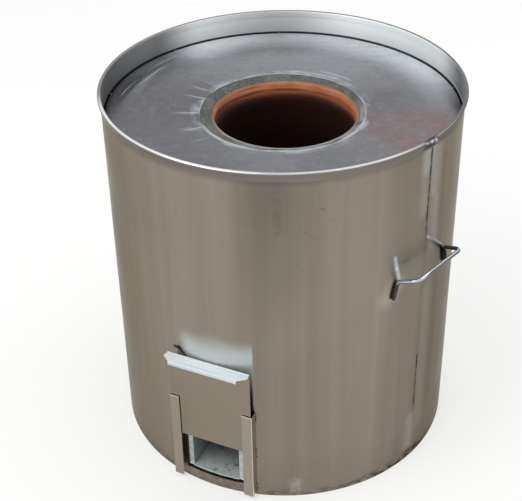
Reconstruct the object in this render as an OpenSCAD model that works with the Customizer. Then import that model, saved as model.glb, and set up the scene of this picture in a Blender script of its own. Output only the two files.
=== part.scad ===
// Clay tandoor oven: a clay pot in an insulated steel drum, with a sliding ash door.
// Millimetres. The origin is the centre of the foot, on the ground. +Z is up and -Y is the front.
// Angles round the drum are counted from the front towards the right hand side.

/* [Drum] */
// Outside radius of the drum sheet
drum_r = 350; // [335:1:370]
// Height of the oven from the ground to the top of the rim
oven_h = 760; // [720:5:800]
// Thickness of the drum sheet
sheet_t = 1.2; // [1:0.1:1.6]
// Width of the strip that is tucked behind the seam
lap_w = 30; // [20:1:45]
// Width of the open line at the seam
seam_gap = 1; // [0.6:0.1:1.5]
// Angle of the seam, which is also the angle of the first handle
seam_az = 49; // [40:1:60]

/* [Rim band] */
// How far the rim band stands out of the drum
rim_out = 5; // [4:0.5:8]
// Height of the outer skirt of the rim band
rim_skirt = 15; // [10:1:25]
// Height of the inner leg of the rim band
rim_leg = 8; // [5:1:12]
// Thickness of the rim band
rim_t = 1.2; // [0.8:0.1:1.5]
// Radius of the solder run at the ends of the rim band
solder_r = 2.4; // [1.5:0.1:3]
// Length of the solder run, as an angle
solder_deg = 4; // [2:0.5:8]

/* [Tray top] */
// Depth of the plate's edge below the rim
tray_depth = 51; // [40:1:70]
// How much lower the plate lies at its hole than at its edge
plate_dish = 12; // [6:1:18]
// Thickness of the top plate
plate_t = 1.5; // [1:0.1:2]
// Open line between the plate and the drum wall
plate_gap = 1.2; // [0.8:0.1:2]
// Height of the plate's turned down edge
plate_flange = 12; // [8:1:18]
// Number of brackets under the plate
bracket_n = 6; // [4:1:8]
// Width of a bracket
bracket_w = 32; // [20:1:40]
// Reach of a bracket under the plate
bracket_reach = 22; // [15:1:30]
// Thickness of a bracket
bracket_t = 2.5; // [2:0.5:4]
// Height of a bracket's upright leg
bracket_h = 30; // [20:1:40]
// Number of tack welds round the plate
tack_n = 9; // [6:1:12]
// Radius of a tack weld
tack_r = 2.4; // [2:0.1:3]

/* [Mortar and mouth] */
// Outside radius of the clay lip
mouth_r = 145.5; // [138:0.5:152]
// Mean width of the mortar ring between the clay lip and the plate
mortar_w = 14.5; // [12:0.5:20]
// How far the mortar slopes down towards the clay
mortar_dip = 5.5; // [3:0.5:8]
// How far the mortar stands above the plate's hole
mortar_proud = 1; // [0.5:0.1:2]
// How far the pot stands off the drum's centre, to the right
pot_shift = 6; // [0:0.5:8]

/* [Clay pot] */
// Width of the rounded clay lip
lip_w = 5.5; // [4:0.5:8]
// Height of the band under the lip
lip_band_h = 20; // [14:1:28]
// Height of the groove under that band
groove_h = 3; // [2:0.5:5]
// Depth of the groove
groove_d = 3; // [2:0.5:4]
// Height of the second band
second_band_h = 15; // [10:1:22]
// Step inwards from the lip to the second band
second_band_in = 2; // [1:0.5:4]
// Inside radius of the throat under the bands
throat_r = 136; // [130:0.5:137]
// Thickness of the clay wall
pot_wall = 28; // [22:1:32]
// Height above the ground where the pot is widest
belly_z = 200; // [170:5:260]
// How far the pot draws in from there to its foot
foot_in = 18; // [10:1:25]
// Step from the lip down to the shoulder that carries the mortar
shoulder_drop = 8; // [6:0.5:12]
// Width of the fireclay fillet round the pot's foot
seal_w = 14; // [8:1:20]

/* [Insulation] */
// Space between the pot's belly and the drum
insulation_w = 72; // [66:1:90]
// Thickness of the wool blanket
wool_t = 35; // [25:1:40]
// Gap between the top of the loose fill and the plate's hole
fill_head = 20; // [12:1:40]

/* [Foot] */
// Thickness of the base plate
base_t = 2; // [1.5:0.5:4]
// Thickness of the flat bar ring inside the foot
ring_t = 8; // [5:1:10]
// Height of the flat bar ring
ring_h = 18; // [12:1:20]
// Thickness of the split fire bricks
brick_t = 25; // [22:1:30]
// Length of a fire brick
brick_l = 230; // [220:1:240]
// Width of a fire brick
brick_w = 114; // [110:1:118]
// Joint between fire bricks
brick_joint = 2; // [1:0.5:3]

/* [Air duct and window] */
// Angle of the gate, the window and the duct
gate_az = -24.3; // [-30:0.1:-18]
// Clear width of the duct
duct_w = 104; // [90:1:110]
// Clear height of the duct
duct_h = 95; // [80:1:100]
// Thickness of the duct sheet
duct_t = 0.8; // [0.6:0.1:1.2]
// Width of the duct's front flanges
duct_flange = 10; // [6:1:11]
// Mortar bed under the duct floor
duct_bed = 3.2; // [2:0.2:5]
// Mortar joint between the duct and the clay
duct_joint = 7; // [4:1:10]
// Gap between the duct's front flanges and the edge of the window
window_gap = 4; // [2:0.5:6]
// Height of the drum strip under the window
sill_h = 25; // [22:1:26]
// Height of the open gap above the duct
window_head = 5; // [2:1:10]
// Depth of the side lips of the duct lid
lid_lip = 12; // [8:1:20]

/* [Gate] */
// Height of the gate's lower edge as it hangs at rest
gate_z = 123; // [110:1:140]
// Height of the gate sheet
gate_h = 204; // [195:1:215]
// Width of the gate sheet
gate_w = 174.4; // [165:0.2:180]
// Thickness of the gate sheet
gate_t = 1.2; // [1:0.1:1.6]
// Gap between the drum and the back of the gate at its middle
gate_back = 2.4; // [1.5:0.1:4]
// Reach of the pull lip
lip_reach = 29; // [20:1:36]
// Widest width of the pull lip
lip_wide = 178; // [170:1:184]
// Width of the pull lip at its front edge
lip_front = 145; // [120:1:160]
// Reach at which the corners of the pull lip are cut
lip_cut = 15; // [10:1:18]
// Height of the hem at the front of the pull lip
lip_hem = 6.5; // [4:0.5:9]
// Thickness of the protective film on the pull lip
film_t = 0.4; // [0.3:0.1:0.6]

/* [Guides] */
// Height of the lower ends of the guides
guide_z = 8; // [4:1:15]
// Height of the upper ends of the guides
guide_top = 220; // [200:1:230]
// Width of a guide's front face
guide_face = 20; // [16:1:24]
// Width of the flange behind the gate
guide_rear = 8; // [5:1:12]
// Thickness of the guide sheet
guide_t = 1; // [0.8:0.1:1.4]
// Free play of the gate at its front, its back and each of its sides
gate_play = 0.6; // [0.4:0.1:1]
// Width of the weld beads at the guides
guide_bead_w = 3; // [2:0.5:4]
// Length of a weld bead at the guides
guide_bead_l = 24; // [15:1:30]

/* [Handles] */
// Radius of the handle rod
rod_r = 4; // [3:0.5:5]
// Length of the grip between the middles of its bends
grip_l = 139; // [120:1:160]
// Reach of the grip's middle line in front of the drum
grip_reach = 35; // [32:1:45]
// Height of the bends at the wall
handle_z = 487; // [450:1:520]
// Rise of the grip above the bends at the wall
grip_rise = 15; // [5:1:20]
// Distance between the two bends at the wall
handle_span = 152; // [140:1:170]
// Length of each foot on the wall
foot_l = 38; // [30:1:50]
// How far each foot splays outwards
foot_splay = 9; // [0:1:12]
// Bend radius of the rod at the grip
grip_bend = 14; // [10:1:20]
// Bend radius of the rod at the wall
wall_bend = 8; // [6:0.5:12]
// Radius of the weld beads along the feet
handle_bead_r = 2.2; // [1.5:0.1:3]

/* [Charcoal grate] */
// Outside radius of the grate
grate_r = 122; // [110:1:125]
// Height of the ring's middle above the hearth
grate_up = 108; // [104:1:140]
// Radius of the ring's round bar
grate_ring_r = 5; // [4:0.5:7]
// Radius of a grate bar
grate_bar_r = 4; // [3:0.5:5]
// Distance from one grate bar to the next
grate_pitch = 20; // [16:1:26]
// Number of grate bars
grate_n = 11; // [9:2:11]
// Number of legs
grate_leg_n = 4; // [3:1:6]
// Gap between the legs and the hearth
leg_gap = 0.3; // [0.3:0.1:1]

/* [Hidden] */
$fn = 180;

bed_gap = 0.5;
hair = 0.02;
curve_n = 12;
round_n = 8;
bend_n = 7;
rod_n = 18;
bore_deep = 60;
solder_bulge = 1.2;
pot_rings = 4;

steel = "#8d887d";
steel_blue = "#85868b";
galvanised = "#b9c2bf";
clay = "#b8694a";
mortar = "#7f8a82";
black_iron = "#3b3a3a";

// Drum and rim
drum_in = drum_r - sheet_t;
lap_in = drum_in - sheet_t;
rim_inner = drum_in - bed_gap - rim_t;
rim_outer = drum_r + rim_out;
rim_mid = (rim_inner + rim_outer) / 2;
rim_round = (rim_outer - rim_inner) / 2;
rim_z = oven_h - rim_round;
lap_top = rim_z - rim_leg - bed_gap;
seam_deg = 2 * asin(seam_gap / 2 / drum_r);

// Tray, mortar and pot heights
plate_edge_z = oven_h - tray_depth;
plate_hole_z = plate_edge_z - plate_dish;
plate_r = lap_in - plate_gap;
hole_r = mouth_r + mortar_w;
lip_z = plate_hole_z - mortar_dip;
shoulder_z = lip_z - shoulder_drop;
bracket_top = plate_edge_z - plate_flange - hair;
hearth_z = base_t + brick_t;
hearth_r = lap_in - ring_t - 3 * bed_gap;

// Pot profile
band_r = mouth_r - lip_w;
lip_round = lip_w / 2;
second_r = band_r - second_band_in;
band_z = lip_z - lip_band_h;
second_z = band_z - groove_h;
throat_z = second_z - second_band_h;
belly_r = lap_in - insulation_w - pot_wall;

// Duct
duct_floor_z = hearth_z + duct_bed;
duct_z = duct_floor_z + duct_t;
duct_top = duct_z + duct_h;
duct_out = duct_w / 2 + duct_t;
duct_end = belly_r - foot_in;
lid_out = duct_out + bed_gap + duct_t;
window_half = duct_w / 2 + duct_flange + window_gap;
flange_y = sqrt(pow(lap_in, 2) - pow(duct_w / 2 + duct_flange, 2)) - bed_gap;
window_top = duct_top + duct_t + window_head;

// Gate and guides, as distances from the drum's axis
gate_in = drum_r + gate_back;
gate_out = gate_in + gate_t;
gate_top = gate_z + gate_h;
face_in = gate_out + gate_play;
rear_out = gate_in - gate_play;
web_in = gate_w / 2 + gate_play;
web_out = web_in + guide_t;

// Handle corners: the ends of the feet, the bends at the wall and the bends at the grip
function wall_y(s) = -sqrt(pow(drum_r + rod_r, 2) - s * s);
foot_s = handle_span / 2 + foot_splay;
wall_s = handle_span / 2;
grip_y = -(drum_r + grip_reach);
rod_path = [[-foot_s, wall_y(foot_s), handle_z - foot_l],
            [-wall_s, wall_y(wall_s), handle_z],
            [-grip_l / 2, grip_y, handle_z + grip_rise],
            [grip_l / 2, grip_y, handle_z + grip_rise],
            [wall_s, wall_y(wall_s), handle_z],
            [foot_s, wall_y(foot_s), handle_z - foot_l]];
rod_bends = [0, wall_bend, grip_bend, grip_bend, wall_bend, 0];

// Grate
grate_z = hearth_z + grate_up;
grate_mid = grate_r - grate_ring_r;
bar_z = grate_z + grate_ring_r + grate_bar_r;

// Turns a piece drawn at the front round to an angle of the drum
module at(az) rotate([0, 0, az]) children();

// Puts a piece on the axis of the pot
module on_pot() translate([pot_shift, 0, 0]) children();

// Box by its lowest corner and highest corner
module span(low, high) translate(low) cube(high - low);

// Part of a turned profile between two angles from the front
module sweep(az0, az1) rotate([0, 0, az0 - 90]) rotate_extrude(angle = az1 - az0) children();

// Round bar between two points
module bar(p, q, r) {
    d = q - p;
    len = norm(d);
    translate(p) rotate([0, acos(d[2] / len), atan2(d[1], d[0])]) cylinder(h = len, r = r, $fn = 32);
}

function unit(v) = v / norm(v);
function turn(a, b, c) = 180 - acos(unit(a - b) * unit(c - b));
function bend_back(a, b, c, r) = r * tan(turn(a, b, c) / 2);

// Points of the round bend at a corner of the path
function bend_points(a, b, c, r) = let (
    u = unit(a - b),
    t = turn(a, b, c),
    centre = b + unit(u + unit(c - b)) * r / cos(t / 2),
    x = unit(b + u * bend_back(a, b, c, r) - centre))
    [for (i = [0:bend_n]) centre + r * (x * cos(t * i / bend_n) - u * sin(t * i / bend_n))];

// Points of a whole path, with a bend radius for each of its corners
function bent_path(path, bends) = let (last = len(path) - 1) concat([path[0]],
    [for (i = [1:last - 1]) each bend_points(path[i - 1], path[i], path[i + 1], bends[i])],
    [path[last]]);

// Direction of the path at each of its points
function headings(points) = let (last = len(points) - 1) [for (i = [0:last])
    unit(points[min(i + 1, last)] - points[max(i - 1, 0)])];

// Sideways vector at each point, carried along the path without twisting
function sideways(heads, i = 0, before = [0, 0, 1]) = i == len(heads) ? []
    : let (side = unit(before - heads[i] * (heads[i] * before + hair)))
      concat([unit(side - heads[i] * (heads[i] * side))], sideways(heads, i + 1, side));

// Round rod swept along a bent path
module bent_rod(path, bends, rod) {
    points = bent_path(path, bends);
    heads = headings(points);
    sides = sideways(heads);
    last = len(points) - 1;
    polyhedron(
        [for (i = [0:last], k = [0:rod_n - 1]) points[i]
            + rod * (sides[i] * cos(360 * k / rod_n) + cross(heads[i], sides[i]) * sin(360 * k / rod_n))],
        concat([[for (k = [rod_n - 1:-1:0]) k]],
               [for (i = [0:last - 1], k = [0:rod_n - 1]) let (m = (k + 1) % rod_n)
                [i * rod_n + k, i * rod_n + m, (i + 1) * rod_n + m, (i + 1) * rod_n + k]],
               [[for (k = [0:rod_n - 1]) last * rod_n + k]]));
}

// Inside radius of the pot below its throat: a quarter sine down to the belly, then a parabola
function pot_in(z) = z > belly_z
    ? throat_r + (belly_r - throat_r) * sin(90 * (throat_z - z) / (throat_z - belly_z))
    : belly_r - foot_in * pow((belly_z - z) / (belly_z - hearth_z), 2);

pot_zs = concat([for (i = [0:curve_n / 2]) hearth_z + (belly_z - hearth_z) * i / (curve_n / 2)],
                [for (i = [1:curve_n]) belly_z + (throat_z - belly_z) * i / curve_n]);

// Outline of the pot's outside, moved out by a distance, from its foot up to a height
function pot_outside(grow, top) = concat(
    [for (z = pot_zs) if (z < top) [pot_in(z) + pot_wall + grow, z]],
    [[throat_r + pot_wall + grow, max(top, throat_z)]]);

// Solid of revolution under an outside outline
module under(points) rotate_extrude()
    polygon(concat([[0, points[0][1]]], points, [[0, points[len(points) - 1][1]]]));

// Everything that the duct and its lid take up, with a clearance round them
module duct_space(gap) at(gate_az)
    span([-lid_out - gap, -drum_r, hearth_z - gap], [lid_out + gap, -duct_end, duct_top + duct_t + gap]);

module outer_drum() color(steel) difference() {
    union() {
        cylinder(h = rim_z, r = drum_r);
        hidden_lap();
    }
    difference() {
        translate([0, 0, -1]) cylinder(h = oven_h, r = drum_in);
        hidden_lap();
    }
    sweep(seam_az - seam_deg / 2, seam_az + seam_deg / 2)
        translate([drum_in, -1]) square([2 * sheet_t, oven_h]);
    at(gate_az) span([-window_half, -drum_r - 1, sill_h], [window_half, -drum_r + bore_deep, window_top]);
}

// Strip of the drum sheet that is tucked behind the other end of the sheet
module hidden_lap() {
    lap_deg = lap_w / drum_r * 180 / PI;
    sweep(seam_az - lap_deg / 2, seam_az + lap_deg / 2)
        translate([lap_in, 0]) square([sheet_t + hair, lap_top]);
}

module rim_band() {
    outside = [for (i = [0:round_n]) [rim_mid + rim_round * cos(180 * i / round_n),
                                      rim_z + rim_round * sin(180 * i / round_n)]];
    inner = rim_round - rim_t;
    inside = [for (i = [0:round_n]) [rim_mid - inner * cos(180 * i / round_n),
                                     rim_z + inner * sin(180 * i / round_n)]];
    color(steel) rotate_extrude() polygon(concat(
        [[rim_outer, rim_z - rim_skirt]], outside, [[rim_inner, rim_z - rim_leg]],
        [[rim_inner + rim_t, rim_z - rim_leg]], inside, [[rim_outer - rim_t, rim_z - rim_skirt]]));
}

module rim_solder() color(galvanised) {
    run_z = oven_h - solder_bulge * solder_r - hair;
    run_r = rim_mid + sqrt(pow(rim_round, 2) - pow(run_z - rim_z, 2));
    sweep(seam_az - solder_deg, seam_az) translate([run_r, run_z]) circle(r = solder_r, $fn = 24);
    at(seam_az) translate([0, -run_r, run_z]) sphere(r = solder_r * solder_bulge, $fn = 32);
    at(seam_az - solder_deg) translate([0, -run_r, run_z]) sphere(r = solder_r, $fn = 32);
}

module top_plate() color(steel_blue) rotate_extrude() polygon([
    [hole_r, plate_hole_z - plate_t], [hole_r, plate_hole_z], [plate_r, plate_edge_z],
    [plate_r, plate_edge_z - plate_flange], [plate_r - plate_t, plate_edge_z - plate_flange],
    [plate_r - plate_t, plate_edge_z - plate_t]]);

module plate_brackets() color(steel) {
    half = bracket_w / 2 / plate_r * 180 / PI;
    for (i = [0:bracket_n - 1]) {
        az = seam_az + 360 / bracket_n * (i + 0.5);
        sweep(az - half, az + half) union() {
            translate([plate_r - bracket_t, bracket_top - bracket_h]) square([bracket_t, bracket_h]);
            translate([plate_r - bracket_reach, bracket_top - bracket_t])
                square([bracket_reach, bracket_t]);
        }
    }
}

module plate_tacks() color(galvanised) for (i = [0:tack_n - 1])
    at(seam_az + 360 / tack_n * (i + 0.3)) translate([0, -plate_r, plate_edge_z])
        intersection() {
            sphere(r = tack_r, $fn = 32);
            translate([-tack_r, -drum_in + plate_r - hair, -tack_r / 2])
                cube([2 * tack_r, 2 * tack_r, 2 * tack_r]);
        }

module mortar_collar() color(mortar) difference() {
    rotate_extrude() polygon([
        [throat_r, shoulder_z + hair], [hole_r - hair, shoulder_z + hair],
        [hole_r - hair, plate_hole_z + mortar_proud], [hole_r - mortar_w / 2, plate_hole_z],
        [mouth_r, lip_z + mortar_proud], [throat_r, lip_z]]);
    on_pot() cylinder(h = oven_h, r = mouth_r + hair);
}

// The pot is built up from rings of clay, each one left to stiffen before the next is put on it
function ring_base(i) = hearth_z + (lip_z - hearth_z) * i / pot_rings;

// One ring of clay, counted from the foot of the pot
module pot_ring(i) color(clay) intersection() {
    on_pot() rotate_extrude() polygon(pot_section());
    translate([0, 0, ring_base(i)])
        cylinder(h = i == pot_rings - 1 ? oven_h : ring_base(i + 1) - ring_base(i) - hair, r = drum_r);
}

module pot_foot() difference() {
    pot_ring(0);
    duct_hole();
}

module pot_belly() pot_ring(1);

module pot_shoulder() pot_ring(2);

module pot_neck() pot_ring(3);

// Section of the pot: up the inside, over the lip and down the outside
function pot_section() = concat(
    [for (z = pot_zs) [pot_in(z), z]],
    [[(throat_r + second_r) / 2, throat_z + hair]],
    [[second_r, second_z], [second_r + groove_d, second_z + groove_h / 2], [band_r, band_z]],
    [for (i = [0:round_n]) [mouth_r - lip_round - lip_round * cos(180 * i / round_n),
                            lip_z - lip_round + lip_round * sin(180 * i / round_n)]],
    [[mouth_r, shoulder_z], [throat_r + pot_wall, shoulder_z]],
    [for (i = [len(pot_zs) - 1:-1:0]) [pot_in(pot_zs[i]) + pot_wall, pot_zs[i]]]);

// Notch in the pot's foot for the duct and the mortar round it
module duct_hole() at(gate_az)
    span([-lid_out - duct_joint, -drum_r, hearth_z - 1],
         [lid_out + duct_joint, -duct_end + bore_deep, duct_top + duct_t + duct_joint]);

module duct_mortar() color(mortar) difference() {
    intersection() {
        on_pot() rotate_extrude() polygon(pot_section());
        at(gate_az) span([-lid_out - duct_joint + hair, -drum_r, hearth_z],
                         [lid_out + duct_joint - hair, -duct_end + bore_deep,
                          duct_top + duct_t + duct_joint - hair]);
    }
    at(gate_az) {
        span([-duct_out - hair, -drum_r, duct_floor_z - hair],
             [duct_out + hair, -duct_end + bore_deep, duct_top]);
        span([-lid_out - hair, -drum_r, duct_top - lid_lip - hair],
             [lid_out + hair, -duct_end + bore_deep, duct_top + duct_t + hair]);
    }
}

// Fillet in the corner between the hearth and the foot of the pot's wall
module pot_seal() color(mortar) difference() {
    foot_r = pot_in(hearth_z) - hair;
    lean = (pot_in(pot_zs[1]) - pot_in(hearth_z)) / (pot_zs[1] - hearth_z);
    on_pot() rotate_extrude() polygon([
        [foot_r - seal_w, hearth_z], [foot_r, hearth_z], [foot_r + lean * seal_w, hearth_z + seal_w]]);
    at(gate_az) span([-lid_out - duct_joint - bed_gap, -drum_r, 0],
                     [lid_out + duct_joint + bed_gap, -duct_end + bore_deep, oven_h]);
}

module wool_blanket() color("#d9d6cb") difference() {
    on_pot() difference() {
        under(pot_outside(wool_t, throat_z));
        under(pot_outside(bed_gap, throat_z + bed_gap));
        translate([0, 0, hearth_z - 1]) cylinder(h = 2, r = belly_r);
    }
    duct_space(bed_gap);
    below_hearth();
}

// Room under the insulation
module below_hearth() cylinder(h = hearth_z + bed_gap, r = drum_r);

module granular_fill() color("#c2b280") difference() {
    translate([0, 0, hearth_z]) cylinder(h = plate_hole_z - fill_head - hearth_z, r = lap_in - bed_gap);
    on_pot() under(pot_outside(wool_t + bed_gap, throat_z));
    on_pot() under(pot_outside(bed_gap, oven_h));
    duct_space(bed_gap);
    at(gate_az) span([-window_half - bed_gap, -drum_r, 0], [window_half + bed_gap,
                     -flange_y + 2 * bed_gap, window_top + bed_gap]);
    below_hearth();
    translate([0, 0, bracket_top - bracket_h - bed_gap]) difference() {
        cylinder(h = bracket_h, r = drum_r);
        translate([0, 0, -1]) cylinder(h = oven_h, r = plate_r - bracket_t - bed_gap);
    }
}

module base_plate() color(steel) cylinder(h = base_t, r = lap_in - bed_gap);

module base_ring() color(steel) translate([0, 0, base_t + hair]) difference() {
    cylinder(h = ring_h, r = lap_in - bed_gap);
    translate([0, 0, -1]) cylinder(h = ring_h + 2, r = lap_in - bed_gap - ring_t);
}

// Rows of bricks, each second row moved on by half a brick, cut round to fit the ring
module hearth_bricks() color("#cdb89a") intersection() {
    translate([0, 0, base_t]) cylinder(h = brick_t, r = hearth_r);
    for (row = [-2:2], col = [-2:2]) {
        x = (col + (row % 2 == 0 ? 0 : 0.5)) * (brick_l + brick_joint);
        y = row * (brick_w + brick_joint);
        if (abs(x) - brick_l / 2 < hearth_r)
            translate([x - brick_l / 2, y - brick_w / 2, base_t]) cube([brick_l, brick_w, brick_t]);
    }
}

module duct_channel() color(galvanised) at(gate_az) {
    intersection() {
        difference() {
            span([-duct_out, -drum_r, duct_floor_z], [duct_out, -duct_end, duct_top - hair]);
            span([-duct_w / 2, -drum_r - 1, duct_z], [duct_w / 2, -duct_end + 1, duct_top + 1]);
            span([-duct_out - 1, -drum_r - 1, duct_z], [duct_out + 1, -flange_y, duct_top + 1]);
        }
        cylinder(h = oven_h, r = lap_in - bed_gap);
    }
    for (side = [-1, 1]) translate([side * (duct_w + duct_flange) / 2, -flange_y + duct_t / 2,
                                    (duct_z + duct_top) / 2])
        cube([duct_flange, duct_t, duct_h - 2 * hair], center = true);
}

module duct_lid() color(galvanised) at(gate_az) difference() {
    span([-lid_out, -flange_y + 2 * duct_t, duct_top - lid_lip], [lid_out, -duct_end, duct_top + duct_t]);
    span([-lid_out + duct_t, -drum_r, duct_top - lid_lip - 1], [lid_out - duct_t, 0, duct_top]);
}

// Guide for one side of the gate: side is -1 on the left and 1 on the right
module guide(side) color(steel) at(gate_az) difference() {
    union() {
        span_side(side, web_out - guide_face, web_out, face_in, face_in + guide_t);
        span_side(side, web_in, web_out, drum_r - bore_deep, face_in + guide_t);
        span_side(side, web_out - guide_rear, web_out, rear_out - guide_t, rear_out);
    }
    cylinder(h = oven_h, r = drum_r + hair);
}

// Upright strip of a guide between two distances from its middle plane and two from the axis
module span_side(side, s0, s1, d0, d1)
    span([min(side * s0, side * s1), -d1, guide_z], [max(side * s0, side * s1), -d0, guide_top]);

module guide_left() guide(-1);

module guide_right() guide(1);

// Three fillets of weld outside each guide's web, one at each end and one in the middle
module guide_welds() color(galvanised) at(gate_az) for (side = [-1, 1], k = [0:2]) {
    room = guide_top - guide_z - guide_bead_l;
    near = sqrt(drum_r * drum_r - web_out * web_out);
    far = sqrt(drum_r * drum_r - pow(web_out + guide_bead_w, 2));
    translate([0, 0, guide_z + room * k / 2]) linear_extrude(guide_bead_l) polygon([
        [side * (web_out + hair), -near], [side * (web_out + hair), -near - guide_bead_w],
        [side * (web_out + guide_bead_w), -far]]);
}

// Outline of the pull lip seen from above, from the gate sheet out to its front edge
function lip_outline(grow) = [
    [-gate_w / 2, -gate_in], [-lip_wide / 2, -gate_in - lip_cut],
    [-lip_front / 2, -gate_in - lip_reach - grow], [lip_front / 2, -gate_in - lip_reach - grow],
    [lip_wide / 2, -gate_in - lip_cut], [gate_w / 2, -gate_in]];

module gate_panel() color(steel) at(gate_az) {
    span([-gate_w / 2, -gate_out, gate_z], [gate_w / 2, -gate_in, gate_top]);
    translate([0, 0, gate_top - gate_t]) linear_extrude(gate_t) polygon(lip_outline(0));
    span([-lip_front / 2, -gate_in - lip_reach, gate_top - lip_hem],
         [lip_front / 2, -gate_in - lip_reach + gate_t, gate_top]);
}

module lip_film() color("#dfe8f2") at(gate_az) {
    translate([0, 0, gate_top]) linear_extrude(film_t) polygon(lip_outline(film_t));
    span([-lip_front / 2, -gate_in - lip_reach - film_t, gate_top - lip_hem],
         [lip_front / 2, -gate_in - lip_reach, gate_top + film_t]);
}

module handle_right() color(galvanised) at(seam_az) bent_rod(rod_path, rod_bends, rod_r);

module handle_left() color(galvanised) at(seam_az + 180) bent_rod(rod_path, rod_bends, rod_r);

// A bead on each side of each foot, along the wall
module handle_welds() color(black_iron) for (az = [seam_az, seam_az + 180], side = [-1, 1], edge = [-1, 1])
    at(az) difference() {
        bar([side * foot_s + edge * rod_r, wall_y(foot_s) + rod_r / 2, handle_z - foot_l],
            [side * wall_s + edge * rod_r, wall_y(wall_s) + rod_r / 2, handle_z - wall_bend],
            handle_bead_r);
        cylinder(h = oven_h, r = drum_r + hair);
        bar(rod_path[side < 0 ? 0 : 5], rod_path[side < 0 ? 1 : 4], rod_r + hair);
    }

module grate_ring() color(black_iron) on_pot() translate([0, 0, grate_z])
    rotate_extrude() translate([grate_mid, 0]) circle(r = grate_ring_r, $fn = 32);

// Parallel bars that lie on the ring, each as long as the ring is wide under it
module grate_bars() color(black_iron) on_pot() for (i = [0:grate_n - 1]) {
    y = (i - (grate_n - 1) / 2) * grate_pitch;
    half = sqrt(grate_r * grate_r - y * y);
    bar([-half, y, bar_z], [half, y, bar_z], grate_bar_r);
}

module grate_legs() color(black_iron) on_pot() for (i = [0:grate_leg_n - 1])
    rotate([0, 0, 360 / grate_leg_n * (i + 0.5)]) translate([grate_mid, 0, hearth_z + leg_gap])
        cylinder(h = grate_up - leg_gap - grate_ring_r + 1, r = grate_ring_r, $fn = 32);

outer_drum();
rim_band();
rim_solder();
top_plate();
plate_brackets();
plate_tacks();
mortar_collar();
pot_foot();
pot_belly();
pot_shoulder();
pot_neck();
pot_seal();
wool_blanket();
granular_fill();
base_plate();
base_ring();
hearth_bricks();
duct_channel();
duct_lid();
duct_mortar();
guide_left();
guide_right();
guide_welds();
gate_panel();
lip_film();
handle_right();
handle_left();
handle_welds();
grate_ring();
grate_bars();
grate_legs();
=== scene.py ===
# %% [markdown]
# # A clay tandoor oven
# The oven is a clay pot that stands in an insulated steel drum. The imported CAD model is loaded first,
# as a fixed frame: it holds every piece at its real size. This lesson then dresses that frame. Sheet
# metal, clay and welds get new surfaces where the real ones are bent, thrown or melted by hand, and
# every other piece keeps its CAD mesh and gets a finish. All lengths are metres. Angles round the
# drum run from the front towards the right hand side, as in the CAD source.

# %% Load the frame
import itertools
import math

import bpy
import numpy as np
from mathutils import Matrix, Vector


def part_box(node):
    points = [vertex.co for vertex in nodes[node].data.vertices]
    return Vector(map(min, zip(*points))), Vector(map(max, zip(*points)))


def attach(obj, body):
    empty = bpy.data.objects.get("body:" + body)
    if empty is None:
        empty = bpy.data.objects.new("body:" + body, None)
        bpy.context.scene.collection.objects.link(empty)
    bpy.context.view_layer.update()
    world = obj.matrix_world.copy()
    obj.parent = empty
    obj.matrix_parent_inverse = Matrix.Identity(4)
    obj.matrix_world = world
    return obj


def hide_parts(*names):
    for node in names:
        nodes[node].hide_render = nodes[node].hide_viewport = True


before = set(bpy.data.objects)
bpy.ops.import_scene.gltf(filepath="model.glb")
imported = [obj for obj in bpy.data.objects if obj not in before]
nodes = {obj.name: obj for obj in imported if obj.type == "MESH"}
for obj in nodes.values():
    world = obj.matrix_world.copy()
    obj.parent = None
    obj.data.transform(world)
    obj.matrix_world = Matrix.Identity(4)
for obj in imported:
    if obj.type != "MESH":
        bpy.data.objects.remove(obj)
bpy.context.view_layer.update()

mm = 0.001

# %% [markdown]
# ## Camera
# The photograph was taken from above the front of the oven with a fairly long lens. The rim and the
# foot of the drum are circles of a known size, so the shape of their ellipses gives the camera. The
# three angles below turn a level camera that looks along +Y: sideways, down, and a slight tilt.

# %% The camera
camera_at = (0, -2.0330, 1.7382)
yaw, pitch, roll = -0.0234, 0.5932, -0.0208
picture_width, sensor_width = 522, 36
focal_in_pixels = 1161.09

ahead = math.cos(pitch)
forward = np.array([math.sin(yaw) * ahead, math.cos(yaw) * ahead, -math.sin(pitch)])
level = np.array([math.cos(yaw), -math.sin(yaw), 0])
above = np.cross(level, forward)
right = math.cos(roll) * level + math.sin(roll) * above
up = math.cos(roll) * above - math.sin(roll) * level

lens = bpy.data.cameras.new("camera")
lens.sensor_width = sensor_width
lens.lens = focal_in_pixels * sensor_width / picture_width
camera = bpy.data.objects.new("camera", lens)
turn = np.stack([right, up, -forward], axis=1)
camera.matrix_world = Matrix.Translation(camera_at) @ Matrix(turn.tolist()).to_4x4()
bpy.context.scene.collection.objects.link(camera)
bpy.context.scene.camera = camera
print("lens", round(lens.lens, 2), "mm")

# %% [markdown]
# ## Helpers for nodes
# Finishes are node trees, and small helpers keep the cells short. A tree is opened, and from then on
# the helpers build in it. Most of them add one node, fill its sockets with values or links, and
# give back its output. The last ones lay tints over a colour, link a shader's sockets, and make
# materials and node groups. Tints are written as the 0 to 255 numbers of a picture.

# %% Helpers for nodes
trees = []


def open_tree(tree):
    """Clears a node tree. The helpers add their nodes to the tree that was opened last."""
    tree.nodes.clear()
    trees.append(tree)


def add(kind, inputs=None, **settings):
    """Adds a node. An input is a plain value, or the output socket to link to it."""
    made = trees[-1].nodes.new(kind)
    for name, value in settings.items():
        setattr(made, name, value)
    for name, value in (inputs or {}).items():
        if isinstance(value, bpy.types.NodeSocket):
            trees[-1].links.new(value, made.inputs[name])
        else:
            made.inputs[name].default_value = value
    return made


def calc(operation, a, b=0.0, clamp=False):
    """Output of a Math node on two numbers or sockets."""
    return add("ShaderNodeMath", {0: a, 1: b}, operation=operation, use_clamp=clamp).outputs[0]


def times(first, *others):
    """Product of numbers and sockets."""
    for other in others:
        first = calc("MULTIPLY", first, other)
    return first


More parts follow.
